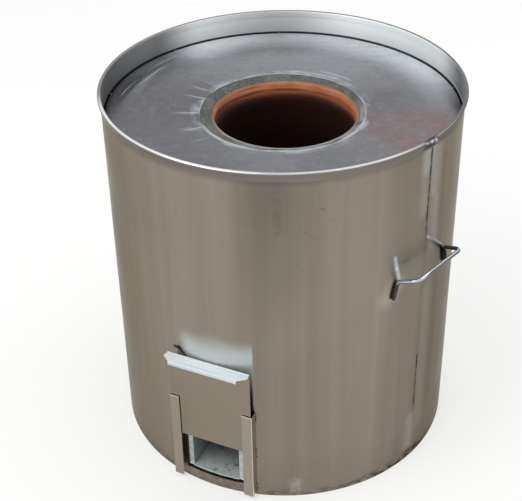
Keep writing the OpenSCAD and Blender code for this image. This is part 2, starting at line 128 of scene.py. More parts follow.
def between(value, low, high, out_low=0.0, out_high=1.0):
    """A value moved smoothly from the range low..high to out_low..out_high, and held there."""
    return add("ShaderNodeMapRange", {0: value, 1: low, 2: high, 3: out_low, 4: out_high},
               interpolation_type="SMOOTHSTEP").outputs[0]


def noise(vector, scale, detail=2.0, roughness=0.5, distortion=0.0):
    """Value of a noise texture, about 0.5 on average."""
    return add("ShaderNodeTexNoise", {"Vector": vector, "Scale": scale, "Detail": detail,
                                      "Roughness": roughness, "Distortion": distortion}).outputs[0]


def place():
    """Object coordinates, which stay fixed on a piece."""
    return add("ShaderNodeTexCoord").outputs["Object"]


def vector_math(operation, a, b=(0, 0, 0), scale=1.0):
    """Outputs of a Vector Math node."""
    return add("ShaderNodeVectorMath", {0: a, 1: b, 3: scale}, operation=operation).outputs


def vector_of(x, y, z=0.0):
    """A vector from its three parts."""
    return add("ShaderNodeCombineXYZ", {"X": x, "Y": y, "Z": z}).outputs[0]


def axes_of(vector):
    """The outputs X, Y and Z of a vector."""
    return add("ShaderNodeSeparateXYZ", {0: vector}).outputs


def from_axis(axes):
    """Distance from the drum's axis: the length of X and Y together."""
    return vector_math("LENGTH", vector_of(axes["X"], axes["Y"]))["Value"]


def turned_axes(vector, azimuth):
    """The axes of a vector after a turn that brings an azimuth of the drum to the front."""
    turn = {"Vector": vector, "Rotation": (0, 0, math.radians(-azimuth))}
    return axes_of(add("ShaderNodeMapping", turn).outputs[0])


def stretched(vector, scale):
    """A vector scaled by three factors, to stretch a pattern."""
    return add("ShaderNodeMapping", {"Vector": vector, "Scale": scale}).outputs[0]


def bumped(height, strength, distance):
    """Normal of a bump from a height."""
    return add("ShaderNodeBump", {"Height": height, "Strength": strength, "Distance": distance}).outputs[0]


def mixed(share, a, b, how="MIX"):
    """Output of a colour mix from a to b by a share from 0 to 1."""
    return add("ShaderNodeMix", {0: share, 6: a, 7: b}, data_type="RGBA", blend_type=how).outputs[2]


def srgb(r, g, b):
    """Linear colour of a colour that is given in the 0 to 255 numbers of a picture."""
    c = np.array([r, g, b]) / 255
    return (*np.where(c <= 0.04045, c / 12.92, ((c + 0.055) / 1.055) ** 2.4).tolist(), 1.0)


def painted(colour, *layers):
    """A colour with layers laid over it, each one a mask and a tint."""
    for mask, tint in layers:
        colour = mixed(mask, colour, srgb(*tint))
    return colour


def connect(sockets, **outputs):
    """Links outputs to the sockets they are named after; an underscore stands for a space."""
    for name, output in outputs.items():
        trees[-1].links.new(output, sockets[name.replace("_", " ")])


def finish_of(name, **constants):
    """Opens a new material: returns it and its Principled BSDF, with constants set on it."""
    made = bpy.data.materials.new(name)
    made.use_nodes = True
    open_tree(made.node_tree)
    skin = add("ShaderNodeBsdfPrincipled")
    for socket, value in constants.items():
        skin.inputs[socket.replace("_", " ")].default_value = value
    connect(add("ShaderNodeOutputMaterial").inputs, Surface=skin.outputs[0])
    return made, skin


def new_group(name, ins, outs):
    """Opens a new shader node group with named sockets: returns it, its inputs and its outputs."""
    group = bpy.data.node_groups.new(name, "ShaderNodeTree")
    for side, table in (("INPUT", ins), ("OUTPUT", outs)):
        for socket, value in table.items():
            kind = "Vector" if socket in ("Vector", "From", "To") else "Float"
            made = group.interface.new_socket(socket, in_out=side, socket_type="NodeSocket" + kind)
            if value is not None:
                made.default_value = value
    open_tree(group)
    return group, add("NodeGroupInput").outputs, add("NodeGroupOutput").inputs


def use(group, inputs):
    """Places a group, fills its inputs and returns its outputs."""
    return add("ShaderNodeGroup", inputs, node_tree=group).outputs


print("helpers are ready")

# %% [markdown]
# ## Stage and light
# A product picture wants a pale floor and even light. The floor shows itself to the camera and to
# shiny metal as nearly white, and still takes a soft shadow. The world gives most of the light, and
# two large lamps give a little direction, so a colour renders about as it is written.

# %% Floor, world and lamps
def seen_directly():
    """1 for rays from the camera, mirrors and glass, else 0."""
    path = add("ShaderNodeLightPath").outputs
    seen = calc("ADD", path["Is Camera Ray"], path["Is Glossy Ray"])
    return calc("ADD", seen, path["Is Transmission Ray"], clamp=True)


floor_half = 6.0
floor_mesh = bpy.data.meshes.new("floor")
corners = floor_half * np.array([[-1, -1], [1, -1], [1, 1], [-1, 1]])
floor_mesh.from_pydata(np.column_stack([corners, np.zeros(4)]).tolist(), [], [(0, 1, 2, 3)])
floor = bpy.data.objects.new("floor", floor_mesh)
bpy.context.scene.collection.objects.link(floor)
floor_paint, skin = finish_of("pale floor", Base_Color=(0.50, 0.50, 0.495, 1), Roughness=0.9,
                              Specular_IOR_Level=0.0, Emission_Color=(1, 1, 1, 1))
connect(skin.inputs, Emission_Strength=times(seen_directly(), 0.56))
floor_mesh.materials.append(floor_paint)

world = bpy.data.worlds.new("world")
bpy.context.scene.world = world
world.use_nodes = True
open_tree(world.node_tree)
soft_light = 0.72
strength = calc("ADD", times(seen_directly(), 1 - soft_light), soft_light)
sky = add("ShaderNodeBackground", {"Color": (1, 1, 1, 1), "Strength": strength})
connect(add("ShaderNodeOutputWorld").inputs, Surface=sky.outputs[0])


def soft_lamp(name, at, size, power):
    """A square area lamp that looks at the middle of the oven."""
    data = bpy.data.lights.new(name, "AREA")
    data.size, data.energy = size, power
    lamp = bpy.data.objects.new(name, data)
    gaze = np.array([0, 0, 0.4]) - np.array(at)
    lamp.rotation_euler = (math.atan2(math.hypot(gaze[0], gaze[1]), -gaze[2]), 0,
                           math.atan2(gaze[1], gaze[0]) - math.pi / 2)
    lamp.location = at
    bpy.context.scene.collection.objects.link(lamp)


soft_lamp("key lamp", (-2.2, -1.6, 3.0), 2.4, 38)
soft_lamp("fill lamp", (2.6, 0.6, 2.6), 2.4, 16)
bpy.context.scene.view_settings.view_transform = "Standard"
print("floor, world and 2 lamps are ready")

# %% [markdown]
# ## Sheets as shells
# Nearly every piece here is a wall with two faces: sheet steel, clay, film. So one function makes
# them all. It takes two grids of points, the front face and the back face, and a mask that says
# which cells of the grid are there. Kept cells give a face on both sides, and every open edge of the
# mask is closed by a narrow wall, so holes and rims come out closed by themselves.

# %% Shells
def finished(name, mesh, sharpest):
    """An object of a mesh with smooth shading, and edges kept sharp above an angle in degrees."""
    mesh.shade_smooth()
    mesh.set_sharp_from_angle(angle=math.radians(sharpest))
    mesh.validate()
    piece = bpy.data.objects.new(name, mesh)
    bpy.context.scene.collection.objects.link(piece)
    print(name, len(mesh.polygons), "faces")
    return piece


def shell(name, front, back, keep=None, wrap=False, uv=None, edge=None):
    """A closed wall between two grids of points, with faces only where keep is true."""
    rows, cols = front.shape[:2]
    keep = np.ones((rows - 1, cols if wrap else cols - 1), bool) if keep is None else keep
    index = np.arange(rows * cols).reshape(rows, cols)
    if wrap:
        index = np.concatenate([index, index[:, :1]], axis=1)
    a, b, c, d = index[:-1, :-1], index[:-1, 1:], index[1:, 1:], index[1:, :-1]
    far = rows * cols

    def beyond(axis, step):
        """True where the neighbour of a cell is not kept."""
        moved = np.roll(keep, step, axis)
        if not (wrap and axis == 1):
            moved[(slice(None),) * axis + (0 if step == 1 else -1,)] = False
        return keep & ~moved

    quads = [np.stack([a, b, c, d], -1)[keep], np.stack([a, d, c, b], -1)[keep] + far]
    sides = (a, b, beyond(0, 1)), (b, c, beyond(1, -1)), (c, d, beyond(0, -1)), (d, a, beyond(1, 1))
    for p, q, open_edge in sides:
        quads.append(np.stack([q, p, p + far, q + far], -1)[open_edge])
    faces = np.concatenate(quads)
    points = np.concatenate([front.reshape(-1, 3), back.reshape(-1, 3)])
    first = faces[: keep.sum()]
    one, two, three, four = (points[first[:, k]] for k in range(4))
    facing = np.cross(three - one, four - two)
    if np.sum(facing * (one - points[first[:, 0] + far])) < 0:
        faces = faces[:, ::-1]
    used, faces_used = np.unique(faces, return_inverse=True)
    mesh = bpy.data.meshes.new(name)
    mesh.from_pydata(points[used].tolist(), [], faces_used.reshape(-1, 4).tolist())
    corner_of = np.empty(len(mesh.loops), np.int32)
    mesh.loops.foreach_get("vertex_index", corner_of)
    if uv is not None:
        flat = np.concatenate([uv.reshape(-1, 2)] * 2)[used]
        mesh.uv_layers.new(name="sheet").data.foreach_set("uv", flat[corner_of].astype(np.float32).ravel())
    if edge is not None:
        flat = np.concatenate([edge.reshape(-1)] * 2)[used]
        mesh.attributes.new("edge", "FLOAT", "POINT").data.foreach_set("value", flat.astype(np.float32))
    return finished(name, mesh, 40)


def grid_of(*parts):
    """One grid of vectors from grids of their parts, which may be rows, columns or numbers."""
    return np.stack(np.broadcast_arrays(*parts), -1)


def round_points(azimuth, radius, z):
    """Points from angles round the drum (degrees), radii and heights."""
    a = np.radians(azimuth)
    return grid_of(radius * np.sin(a), -radius * np.cos(a), z)


def stops(*spans):
    """Grid lines from (start, end, steps) spans that follow one another."""
    return np.concatenate([np.linspace(lo, hi, n, endpoint=False) for lo, hi, n in spans] + [[spans[-1][1]]])


def unit(vectors):
    """Vectors (n, k) scaled to a length of 1."""
    return vectors / np.linalg.norm(vectors, axis=1, keepdims=True)


def length_along(path):
    """Length from the start of a path (n, k) to each of its points."""
    return np.concatenate([[0], np.cumsum(np.linalg.norm(np.diff(path, axis=0), axis=1))])


def left_of(path):
    """Unit normals of a path (n, 2), to its left."""
    ahead = unit(np.gradient(path, axis=0))
    return np.stack([-ahead[:, 1], ahead[:, 0]], -1)


def bent(path, thickness):
    """Front and back of a sheet bent along a path (n, 2): the back is the path moved along its normals."""
    return path, path + thickness * left_of(path)


def rounded(path, radius, steps=6):
    """A path (n, 2) whose inner corners are arcs: each one is a quadratic curve from and to points
    at the tangent length on both sides of the corner."""
    path = np.asarray(path, float)
    before, corner, after = path[:-2], path[1:-1], path[2:]
    u, v = unit(before - corner), unit(after - corner)
    half = np.arccos(np.clip(np.sum(u * v, 1), -1, 1)) / 2
    shortest = np.minimum(np.linalg.norm(before - corner, axis=1), np.linalg.norm(after - corner, axis=1))
    cut = np.minimum(radius / np.tan(half), 0.45 * shortest)
    t = np.linspace(0, 1, steps)[None, :, None]
    p, q = (corner + u * cut[:, None])[:, None], (corner + v * cut[:, None])[:, None]
    arcs = (1 - t) ** 2 * p + 2 * t * (1 - t) * corner[:, None] + t ** 2 * q
    return np.concatenate([path[:1], arcs.reshape(-1, 2), path[-1:]])


def finer(path, longest):
    """A path (n, k) with points added so that no step is longer than a length."""
    along = length_along(path)
    inner = np.arange(longest, along[-1], longest)
    apart = np.min(np.abs(inner[:, None] - along), 1) > longest * 0.3
    places = np.unique(np.concatenate([along, inner[apart]]))
    return np.stack([np.interp(places, along, path[:, k]) for k in range(path.shape[1])], -1)


def lumps(*phases, seed=0, octaves=4):
    """Smooth random numbers from -1 to 1 at phases (arrays in waves): a sum of sines whose rate
    grows and whose size falls from one to the next."""
    pick = np.random.default_rng(seed)
    total, weight = 0, 0
    for k in range(octaves):
        rate = 1.7 ** k
        turns = sum(phase * rate * pick.uniform(0.7, 1.3) * pick.choice([-1, 1]) for phase in phases)
        total = total + np.sin(2 * np.pi * (turns + pick.uniform())) / rate ** 0.8
        weight += 1 / rate ** 0.8
    return total / weight


def round_lumps(azimuth, other, seed=0, waves=3, octaves=4):
    """As lumps, but whole waves round the drum, so that the pattern closes on itself."""
    pick = np.random.default_rng(seed)
    total, weight = 0, 0
    for k in range(octaves):
        n = waves * (k + 1) + int(pick.integers(0, 3))
        phase = other * (k + 1) * pick.uniform(0.6, 1.4) + pick.uniform()
        total = total + np.sin(np.radians(azimuth) * n + 2 * np.pi * phase) / (k + 1) ** 0.7
        weight += 1 / (k + 1) ** 0.7
    return total / weight


def bell(x, middle, width):
    """A bell of height 1 at a middle."""
    return np.exp(-((x - middle) / width) ** 2)


print("helpers for shapes are ready")

# %% [markdown]
# ## The drum
# The drum is one sheet of stainless steel rolled into a cylinder. Its two ends meet in an upright seam
# on the right, where one end is set inwards by its own thickness and tucked behind the other. A
# window is cut low at the front with snips, so its edges are not quite straight. The grid runs once
# round the drum and a little further, behind its own start. Its lines are closest at the window, and
# the cells inside the window are left out.

# %% The drum
drum_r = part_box("outer_drum")[1].x
rim_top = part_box("rim_band")[1].z
sheet_t, wall_in_r = 1.2 * mm, 347.1 * mm
seam_az, gate_az = 49.0, -24.3
lap_deg, drum_top, tuck_gap = 2.5, 756 * mm, 0.03 * mm
window_half, sill_z, window_top, tuck_top = 66 * mm, 25 * mm, 131.8 * mm, 747 * mm


def seam_width(z):
    """Open width of the seam: tight in the middle, with two bells where it gapes, high up and low down."""
    gape = 0.95 * np.exp(-((z - 0.66) / 0.10) ** 4) + 0.85 * np.exp(-((z - 0.20) / 0.075) ** 4)
    return (0.42 + gape + 0.10 * np.sin(z * 61)) * mm


window_deg = math.degrees(math.asin(window_half / drum_r))
az0, az1 = seam_az - 360, seam_az
left_az, right_az = gate_az - window_deg, gate_az + window_deg
az_lines = stops((az0, left_az, 150), (left_az, right_az, 30), (right_az, az1, 48))
z_lines = stops((0, sill_z, 5), (sill_z, window_top, 44), (window_top, 0.2, 7), (0.2, drum_top, 48))
az_grid, z_grid = np.meshgrid(az_lines, z_lines)

in_height = (z_grid > sill_z) & (z_grid < window_top)
in_width = (az_grid > left_az) & (az_grid < right_az)
snip_w = (np.isclose(az_grid, left_az) | np.isclose(az_grid, right_az)) & in_height
snip_h = (np.isclose(z_grid, sill_z) | np.isclose(z_grid, window_top)) & in_width
az_bent = az_grid + snip_w * 0.14 * lumps(z_grid / 0.011, seed=4)
z_bent = z_grid + snip_h * 0.5 * mm * lumps(az_grid / 3.1, seed=5)

wave = 0.5 * mm * (0.5 + 0.5 * round_lumps(az_grid, z_grid / 0.9, seed=8, waves=3))
narrowing = np.degrees(seam_width(z_grid) / 2 / drum_r)
az_bent = np.where(az_grid <= az0 + 0.01, az_bent + narrowing, az_bent)
az_bent = np.where(az_grid >= az1 - 0.01, az_bent - narrowing, az_bent)
tucked = np.array([0.02, lap_deg / 2, lap_deg])
tucked_az = az_bent[:, -1:] + 2 * narrowing[:, -1:] * [0.9, 1, 1] + tucked * [0, 1, 1]
tucked_r = drum_r - sheet_t - tuck_gap - np.zeros_like(tucked_az)
az_all = np.concatenate([az_bent, tucked_az], 1)
r_front = np.concatenate([drum_r - wave, tucked_r - wave[:, :1]], 1)
z_all = np.concatenate([z_bent, np.minimum(np.repeat(z_bent[:, -1:], 3, 1), tuck_top)], 1)
front = round_points(az_all, r_front, z_all)
back = round_points(az_all, r_front - sheet_t, z_all)

cell_az, cell_z = (az_lines[:-1] + az_lines[1:]) / 2, (z_lines[:-1] + z_lines[1:]) / 2
beside_window = ((cell_z > sill_z) & (cell_z < window_top))[:, None]
in_window = beside_window & (cell_az > left_az) & (cell_az < right_az)
keep = np.concatenate([~in_window, np.ones((len(cell_z), 3), bool)], 1)
drum = shell("drum_sheet", front, back, keep, uv=grid_of(np.radians(az_all) * drum_r, z_all))
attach(drum, "oven")
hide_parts("outer_drum")

# %% [markdown]
# ## The rim
# A strip of sheet is folded over the top edge so that hands are not cut. It has a round fold on top, a skirt
# outside that is pressed against the wall, and a short leg inside. Its ends meet at the seam and do not quite
# touch. The section is one bent path carried round the drum, and its two ends lean a little. The edge
# attribute marks the top of the fold, where the finish paints a highlight.

# %% The rim
rim_out_r, rim_in_r, rim_t, skirt = drum_r + 5 * mm, wall_in_r, 1.2 * mm, 15 * mm
rim_mid_r, rim_round = (rim_out_r + rim_in_r) / 2, (rim_out_r - rim_in_r) / 2
round_z = rim_top - rim_round
turn_over = np.radians(np.linspace(0, 180, 17))
pressed_r = drum_r + 1.8 * mm
round_fold = np.stack([rim_mid_r + rim_round * np.cos(turn_over), round_z + rim_round * np.sin(turn_over)], 1)
skirt_path = [[pressed_r, round_z - skirt], [pressed_r + 0.1 * mm, round_z - 10 * mm],
              [pressed_r + 0.7 * mm, round_z - 5.5 * mm], [rim_out_r - 0.6 * mm, round_z - 2 * mm]]
inner_leg = [[rim_in_r, round_z - 4 * mm], [rim_in_r, round_z - 8 * mm]]
section = np.concatenate([skirt_path, round_fold, inner_leg])
outer, inner = bent(section, rim_t)
rim_az = np.linspace(az0, az1, 361)[:, None]
at_end = np.zeros_like(rim_az)
at_end[0], at_end[-1] = 1, -1


def round_the_rim(path, hem):
    """The path carried round: its lower edge and its fold swell by tenths of a millimetre."""
    radius, z = path[None, :, 0], path[None, :, 1]
    down = np.clip((round_z - z) / skirt, 0, 1)
    low, lean = down ** 2, at_end * (0.10 + 0.16 * down)
    swell = 0.25 * mm * round_lumps(rim_az, 0.0, seed=12, waves=7)
    return round_points(rim_az + lean, radius - 0.3 * mm * low - np.abs(swell) * 0.6,
                        z + hem * low * (swell + 0.25 * mm))


fold = np.clip(((section[:, 1] - round_z) / rim_round - 0.40) / 0.35, 0, 1)
rim = shell("rim_fold", round_the_rim(outer, 1), round_the_rim(inner, 1),
            uv=grid_of(np.radians(rim_az) * drum_r, section[None, :, 1]),
            edge=np.broadcast_to(fold, (len(rim_az), len(section))))
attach(rim, "oven")
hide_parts("rim_band")

# %% [markdown]
# ## The sunk tray
# The top plate is a ring of thin sheet, dished towards its hole, with its outer edge turned down. It
# was beaten to fit, so it has long shallow ripples near the wall on the left and a soft unevenness
# everywhere. The section runs from the hole to the wall and down the turned edge.

# %% The top plate
plate_r, plate_t, hole_r = 346.4 * mm, 1.5 * mm, 160 * mm
plate_low, plate_high = 697 * mm, 709 * mm
section = finer(rounded([[hole_r, plate_low], [plate_r, plate_high], [plate_r, plate_low]], 2.5 * mm), 6 * mm)
top_face, under_face = bent(section, -plate_t)
plate_az = np.linspace(0, 360, 361)[:-1, None]


def ripple_field(azimuth, radius):
    """Height of the plate's ripples: two curved dents and a swelling between them near the wall on the
    left, each a bell across its radius times a bell along its angle, and a faint unevenness all over."""
    turn = (azimuth + 180) % 360 - 180
    left = -1.3 * bell(radius, 0.328, 0.007) * bell(turn, -108, 16)
    left = left + 1.1 * bell(radius, 0.312, 0.008) * bell(turn, -118, 15)
    left = left - 0.8 * bell(radius, 0.292, 0.010) * bell(turn, -104, 10)
    quiet = np.clip((plate_r - radius) / 0.01, 0, 1) * np.clip((radius - hole_r) / 0.01, 0, 1)
    return mm * quiet * (left + 0.5 * round_lumps(azimuth, radius / 0.35, seed=21, waves=3))


def round_the_tray(path):
    """The path carried round, with the ripples added to the height of its flat part."""
    radius = path[None, :, 0]
    return round_points(plate_az, radius, path[None, :, 1] + ripple_field(plate_az, radius))


plate = shell("tray_plate", round_the_tray(top_face).transpose(1, 0, 2),
              round_the_tray(under_face).transpose(1, 0, 2), wrap=True)
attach(plate, "oven")
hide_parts("top_plate")

# %% [markdown]
# ## The clay pot
# The pot is thrown and coiled by hand. Its mouth has a rounded lip, an upright band, a groove and a
# second band, and below them the wall swells out to the belly. Two profiles give the inside and the
# outside at the same heights, and both get the slow rings that fingers leave. The air hole at the
# foot is left out of the mask.

# %% The clay pot
pot_x, mouth_r = 6 * mm, 145.5 * mm
lip_z, throat_z, belly_z, hearth_z = 691.5 * mm, 653.5 * mm, 200 * mm, 27 * mm
throat_r, belly_r, foot_in, pot_wall = 136 * mm, 247.6 * mm, 18 * mm, 28 * mm
air_half, air_top = 61.1 * mm, 134.7 * mm


def belly(z):
    """Inside radius below the throat: a quarter sine down to the belly, then a parabola to the foot."""
    down = np.clip((throat_z - z) / (throat_z - belly_z), 0, 1)
    upper = throat_r + (belly_r - throat_r) * np.sin(np.pi / 2 * down)
    return np.where(z > belly_z, upper, belly_r - foot_in * ((belly_z - z) / (belly_z - hearth_z)) ** 2)


wall_z = stops((hearth_z, air_top, 12), (air_top, belly_z, 6), (belly_z, throat_z, 46))
lip_turn = np.radians(np.linspace(0, 88, 9))
lip_round, air_z = 2.75 * mm, 100 * mm
mouth_in = np.array([[136.3, 655], [137.2, 660], [137.9, 664.5], [138.0, 667.6], [139.2, 669.0],
                     [140.6, 670.2], [140.9, 671.6], [139.9, 673.4], [139.6, 678], [139.8, 684],
                     [140.0, 687.5]]) * mm
lip_in = np.stack([mouth_r - lip_round - lip_round * np.cos(lip_turn),
                   lip_z - lip_round + lip_round * np.sin(lip_turn)], 1)
lip_out = np.stack([mouth_r - lip_round + lip_round * np.cos(lip_turn), lip_in[:, 1]], 1)
inside = np.concatenate([np.stack([belly(wall_z), wall_z], 1), mouth_in, lip_in])
shoulder_r = throat_r + pot_wall
mouth_out = np.column_stack([np.concatenate([np.full(7, shoulder_r), np.full(4, mouth_r)]),
                             np.concatenate([mouth_in[:7, 1], np.linspace(683.5 * mm, 688.5 * mm, 4)])])
outside = np.concatenate([np.stack([belly(wall_z) + pot_wall, wall_z], 1), mouth_out, lip_out])

air_deg_in = math.degrees(math.asin(air_half / belly(np.array(air_z))))
air_left, air_right = gate_az - air_deg_in, gate_az + air_deg_in
pot_az = stops((air_right - 360, air_left, 190), (air_left, air_right, 18))[:-1][None, :]


def thrown(path, outer_side):
    """The profile carried round the pot's axis, with finger rings and a slightly uneven mouth."""
    z = path[:, 1:2]
    rings = 0.5 * np.sin(2 * np.pi * z / (13 * mm)) * (z < throat_z) * (1 - outer_side)
    near = np.clip((z - 600 * mm) / (60 * mm), 0, 1)
    uneven = 0.55 * round_lumps(pot_az, z / 0.08, seed=31, waves=2)
    uneven = uneven + 0.22 * round_lumps(pot_az, z / 0.012, seed=33, waves=9)
    rough = 1.2 * round_lumps(pot_az, z / 0.2, seed=35, waves=4) * (1 - near)
    radius = path[:, 0:1] + mm * (rings + uneven * np.where(z > lip_z - 6 * mm, 0.5, 1.0) + rough)
    points = round_points(pot_az, radius, z)
    points[..., 0] += pot_x
    return points


cell_az = (pot_az[0] + np.roll(pot_az[0], -1) + 360 * (np.arange(pot_az.size) == pot_az.size - 1)) / 2
low_cell = ((inside[:-1, 1] + inside[1:, 1]) / 2 < air_top)[:, None]
pot = shell("clay_pot_thrown", thrown(inside, 0), thrown(outside, 1),
            keep=~(low_cell & (np.abs(cell_az - gate_az) < air_deg_in)[None, :]), wrap=True)
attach(pot, "oven")
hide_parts("pot_foot", "pot_belly", "pot_shoulder", "pot_neck")

# %% [markdown]
# ## The mortar ring
# Grey mortar is pressed by hand into the gap between the clay and the plate, and it slopes inwards.
# The pot stands a little to the right, so the ring is wide on the left and narrow on the right. The
# surface runs from the lip's circle to a wavering edge that is feathered out on to the plate.

# %% The mortar ring
mortar_az = np.linspace(0, 360, 241)[:-1][None, :]
share = np.array([0, 0.06, 0.14, 0.28, 0.45, 0.62, 0.78, 0.90, 0.96, 1.0])[:, None]
inner_ring = round_points(mortar_az, mouth_r + 0.15 * mm, 0.0)
inner_ring[..., 0] += pot_x
outer_r = hole_r + 0.7 * mm + 0.8 * mm * round_lumps(mortar_az, 0.0, seed=41, waves=7)
outer_ring = round_points(mortar_az, outer_r, 0.0)
spread = inner_ring * (1 - share[..., None]) + outer_ring * share[..., None]
hand = 0.55 * round_lumps(mortar_az, share * 0.9, seed=43, waves=11)
hand = hand + 0.5 * round_lumps(mortar_az, share * 0.3, seed=44, waves=3)
ring_start, under_edge, under_ring = lip_z - 1.2 * mm, 690 * mm, 684 * mm
slope = ring_start + (plate_low + 1.0 * mm - ring_start) * share
crown = np.sin(np.pi * share) * (1.1 + hand) * mm
feather = ripple_field(mortar_az, outer_r)
top_side, low_side = spread.copy(), spread.copy()
top_side[..., 2] = slope + crown + feather * share
low_side[..., 2] = np.where(share > 0.95, plate_low + 0.25 * mm + feather,
                            np.where(share > 0.85, under_edge, under_ring))
mortar_ring = shell("mortar_ring", top_side, low_side, wrap=True)
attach(mortar_ring, "oven")
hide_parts("mortar_collar")

# %% [markdown]
# ## The gate
# The ash gate is a flat sheet that slides in two folded guides. Its top is bent forwards into a pull
# lip, and the lip's front is bent down again into a hem. The side view is one path with small bend
# radii, and the width changes along it: full on the flat, a little wider at the lip's chamfers, and
# narrower at the hem.

# %% The gate
def at_gate(s, d, z):
    """Points from the gate's own frame: s to the right along the wall, d out from the drum's axis."""
    a = math.radians(gate_az)
    return grid_of(s * math.cos(a) + d * math.sin(a), s * math.sin(a) - d * math.cos(a), z)


gate_low, gate_high, gate_t = 123 * mm, 327 * mm, 1.2 * mm
gate_half, lip_half, hem_half = 87.2 * mm, 89 * mm, 72.5 * mm
gate_back, lip_reach, lip_cut, hem = 352.4 * mm, 29 * mm, 15 * mm, 6.5 * mm


def half_width(d):
    """Half width of the lip at a distance d: straight lines from the sheet to the chamfer to the hem."""
    return np.interp(d - gate_back, [0, lip_cut, lip_reach - gate_t], [gate_half, lip_half, hem_half])


gate_front, lip_front = gate_back + gate_t, gate_back + lip_reach - gate_t
side_view = finer(rounded([[gate_front, gate_low], [gate_front, gate_high - gate_t],
                           [lip_front, gate_high - gate_t], [lip_front, gate_high - hem]], 1.2 * mm), 7 * mm)
fore, rear = bent(side_view, gate_t)
across = np.linspace(-1, 1, 41)[None, :]
half = np.where(side_view[:, 1] < gate_high - 3 * gate_t, gate_half, half_width(side_view[:, 0]))
half = np.where(side_view[:, 0] > gate_back + lip_reach - 2 * gate_t, hem_half, half)
reach_s = across * half[:, None]
up_share = np.clip((side_view[:, 1:] - gate_low) / 0.2, 0, 1)
oil_can = 0.35 * mm * np.cos(across * 1.4) * np.sin(np.pi * up_share)
gate = shell("gate_sheet", at_gate(reach_s, fore[:, 0:1] - oil_can, fore[:, 1:]),
             at_gate(reach_s, rear[:, 0:1] - oil_can, rear[:, 1:]),
             uv=grid_of(reach_s, fore[:, 1:]))
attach(gate, "gate")
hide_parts("gate_panel")

# %% [markdown]
# ## The film on the lip
# New sheet metal comes with a pale protective film, and it was left on the lip. It is cut loose at its
# edges and has crept into fine wrinkles. It follows the same path as the lip, a hair above it, with a
# little crinkle that dies out where the film still sticks.

# %% The film
film_t, film_rise, clear = 0.12 * mm, 0.20 * mm, 0.03 * mm
film_front = gate_back + lip_reach + clear
film_path = finer(rounded([[gate_back + 0.8 * mm, gate_high + clear], [film_front, gate_high + clear],
                           [film_front, gate_high - hem]], 1.0 * mm), 1.2 * mm)
film_across = np.linspace(-1, 1, 140)[None, :]
film_along = length_along(film_path)[:, None]
film_s = film_across * np.where(film_path[:, 1:] < gate_high - 1 * mm, hem_half,
                                half_width(film_path[:, 0:1]))
crinkle = np.clip(0.5 + 0.7 * lumps(film_s / 0.021, film_along / 0.009, seed=51, octaves=4), 0, 1)
crease_at = 13 * mm
crease = np.exp(-((film_along - crease_at - 1.5 * mm * np.sin(film_s * 60)) / (0.7 * mm)) ** 2)
lift = film_rise * np.clip(crinkle * 0.75 + crease * 0.5, 0, 1)
out_way = left_of(film_path)


def on_lip(height):
    """The film's path moved out along its normals by a height grid."""
    return at_gate(film_s, film_path[:, 0:1] + out_way[:, 0:1] * height,
                   film_path[:, 1:] + out_way[:, 1:] * height)


film = shell("lip_film_crinkled", on_lip(lift + film_t), on_lip(lift), uv=grid_of(film_s, film_along))
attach(film, "gate")
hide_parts("lip_film")

# %% [markdown]
# ## The guides
# Each guide is a strip folded to an angle: its face holds the gate in front, and its web stands on
# the drum and carries the welds. A narrow flange behind the gate keeps it off the wall. The sheared
# top end shows bright metal, so the edge attribute marks it for the finish.

# %% The guides
guide_low, guide_high, guide_t = 8 * mm, 220 * mm, 1.0 * mm
face_d, face_s, web_s, rest_d, rest_s = 355.2 * mm, 68.8 * mm, 88.8 * mm, 350.8 * mm, 80.8 * mm
guide_z = stops((guide_low, 0.19, 24), (0.19, guide_high, 14))[:, None]


def guide_piece(name, side, section):
    """A strip of guide: a bent section in s and d, carried up, with a slightly uneven free edge."""
    path = rounded(section, 1.3 * mm, 5) if len(section) > 2 else np.asarray(section)
    path = finer(path, 4 * mm)
    free = np.exp(-np.linspace(0, 6, len(path)))[None, :]
    uneven = 0.25 * mm * lumps(guide_z / 0.07, seed=60 + side) * free
    edge = np.broadcast_to(np.clip((guide_z - guide_high + 1.6 * mm) / (1 * mm), 0, 1), uneven.shape)
    points = [at_gate(side * (p[None, :, 0] + uneven), p[None, :, 1], guide_z) for p in bent(path, guide_t)]
    return shell(name, *points, uv=grid_of(path[None, :, 0], guide_z), edge=edge)


guides = []
wall_d = math.sqrt(drum_r ** 2 - (web_s - guide_t / 2) ** 2)
folded = [[face_s, face_d], [web_s, face_d], [web_s, wall_d - 0.2 * mm]]
for side, word in ((-1, "left"), (1, "right")):
    angle = guide_piece(f"guide_{word}_angle", side, folded)
    rest = guide_piece(f"guide_{word}_rest", side, [[rest_s, rest_d], [web_s - guide_t, rest_d]])
    guides += [angle, rest]
    for piece in (angle, rest):
        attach(piece, "oven")
        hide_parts(f"guide_{word}")

# %% [markdown]
# ## The air duct
# Behind the window a channel of galvanised sheet leads through the insulation to the pot. Its two
# walls end in narrow flanges that are bent outwards behind the drum sheet, and its floor runs
# further forward, cut to a curve. Each wall and the floor is a shell of its own.

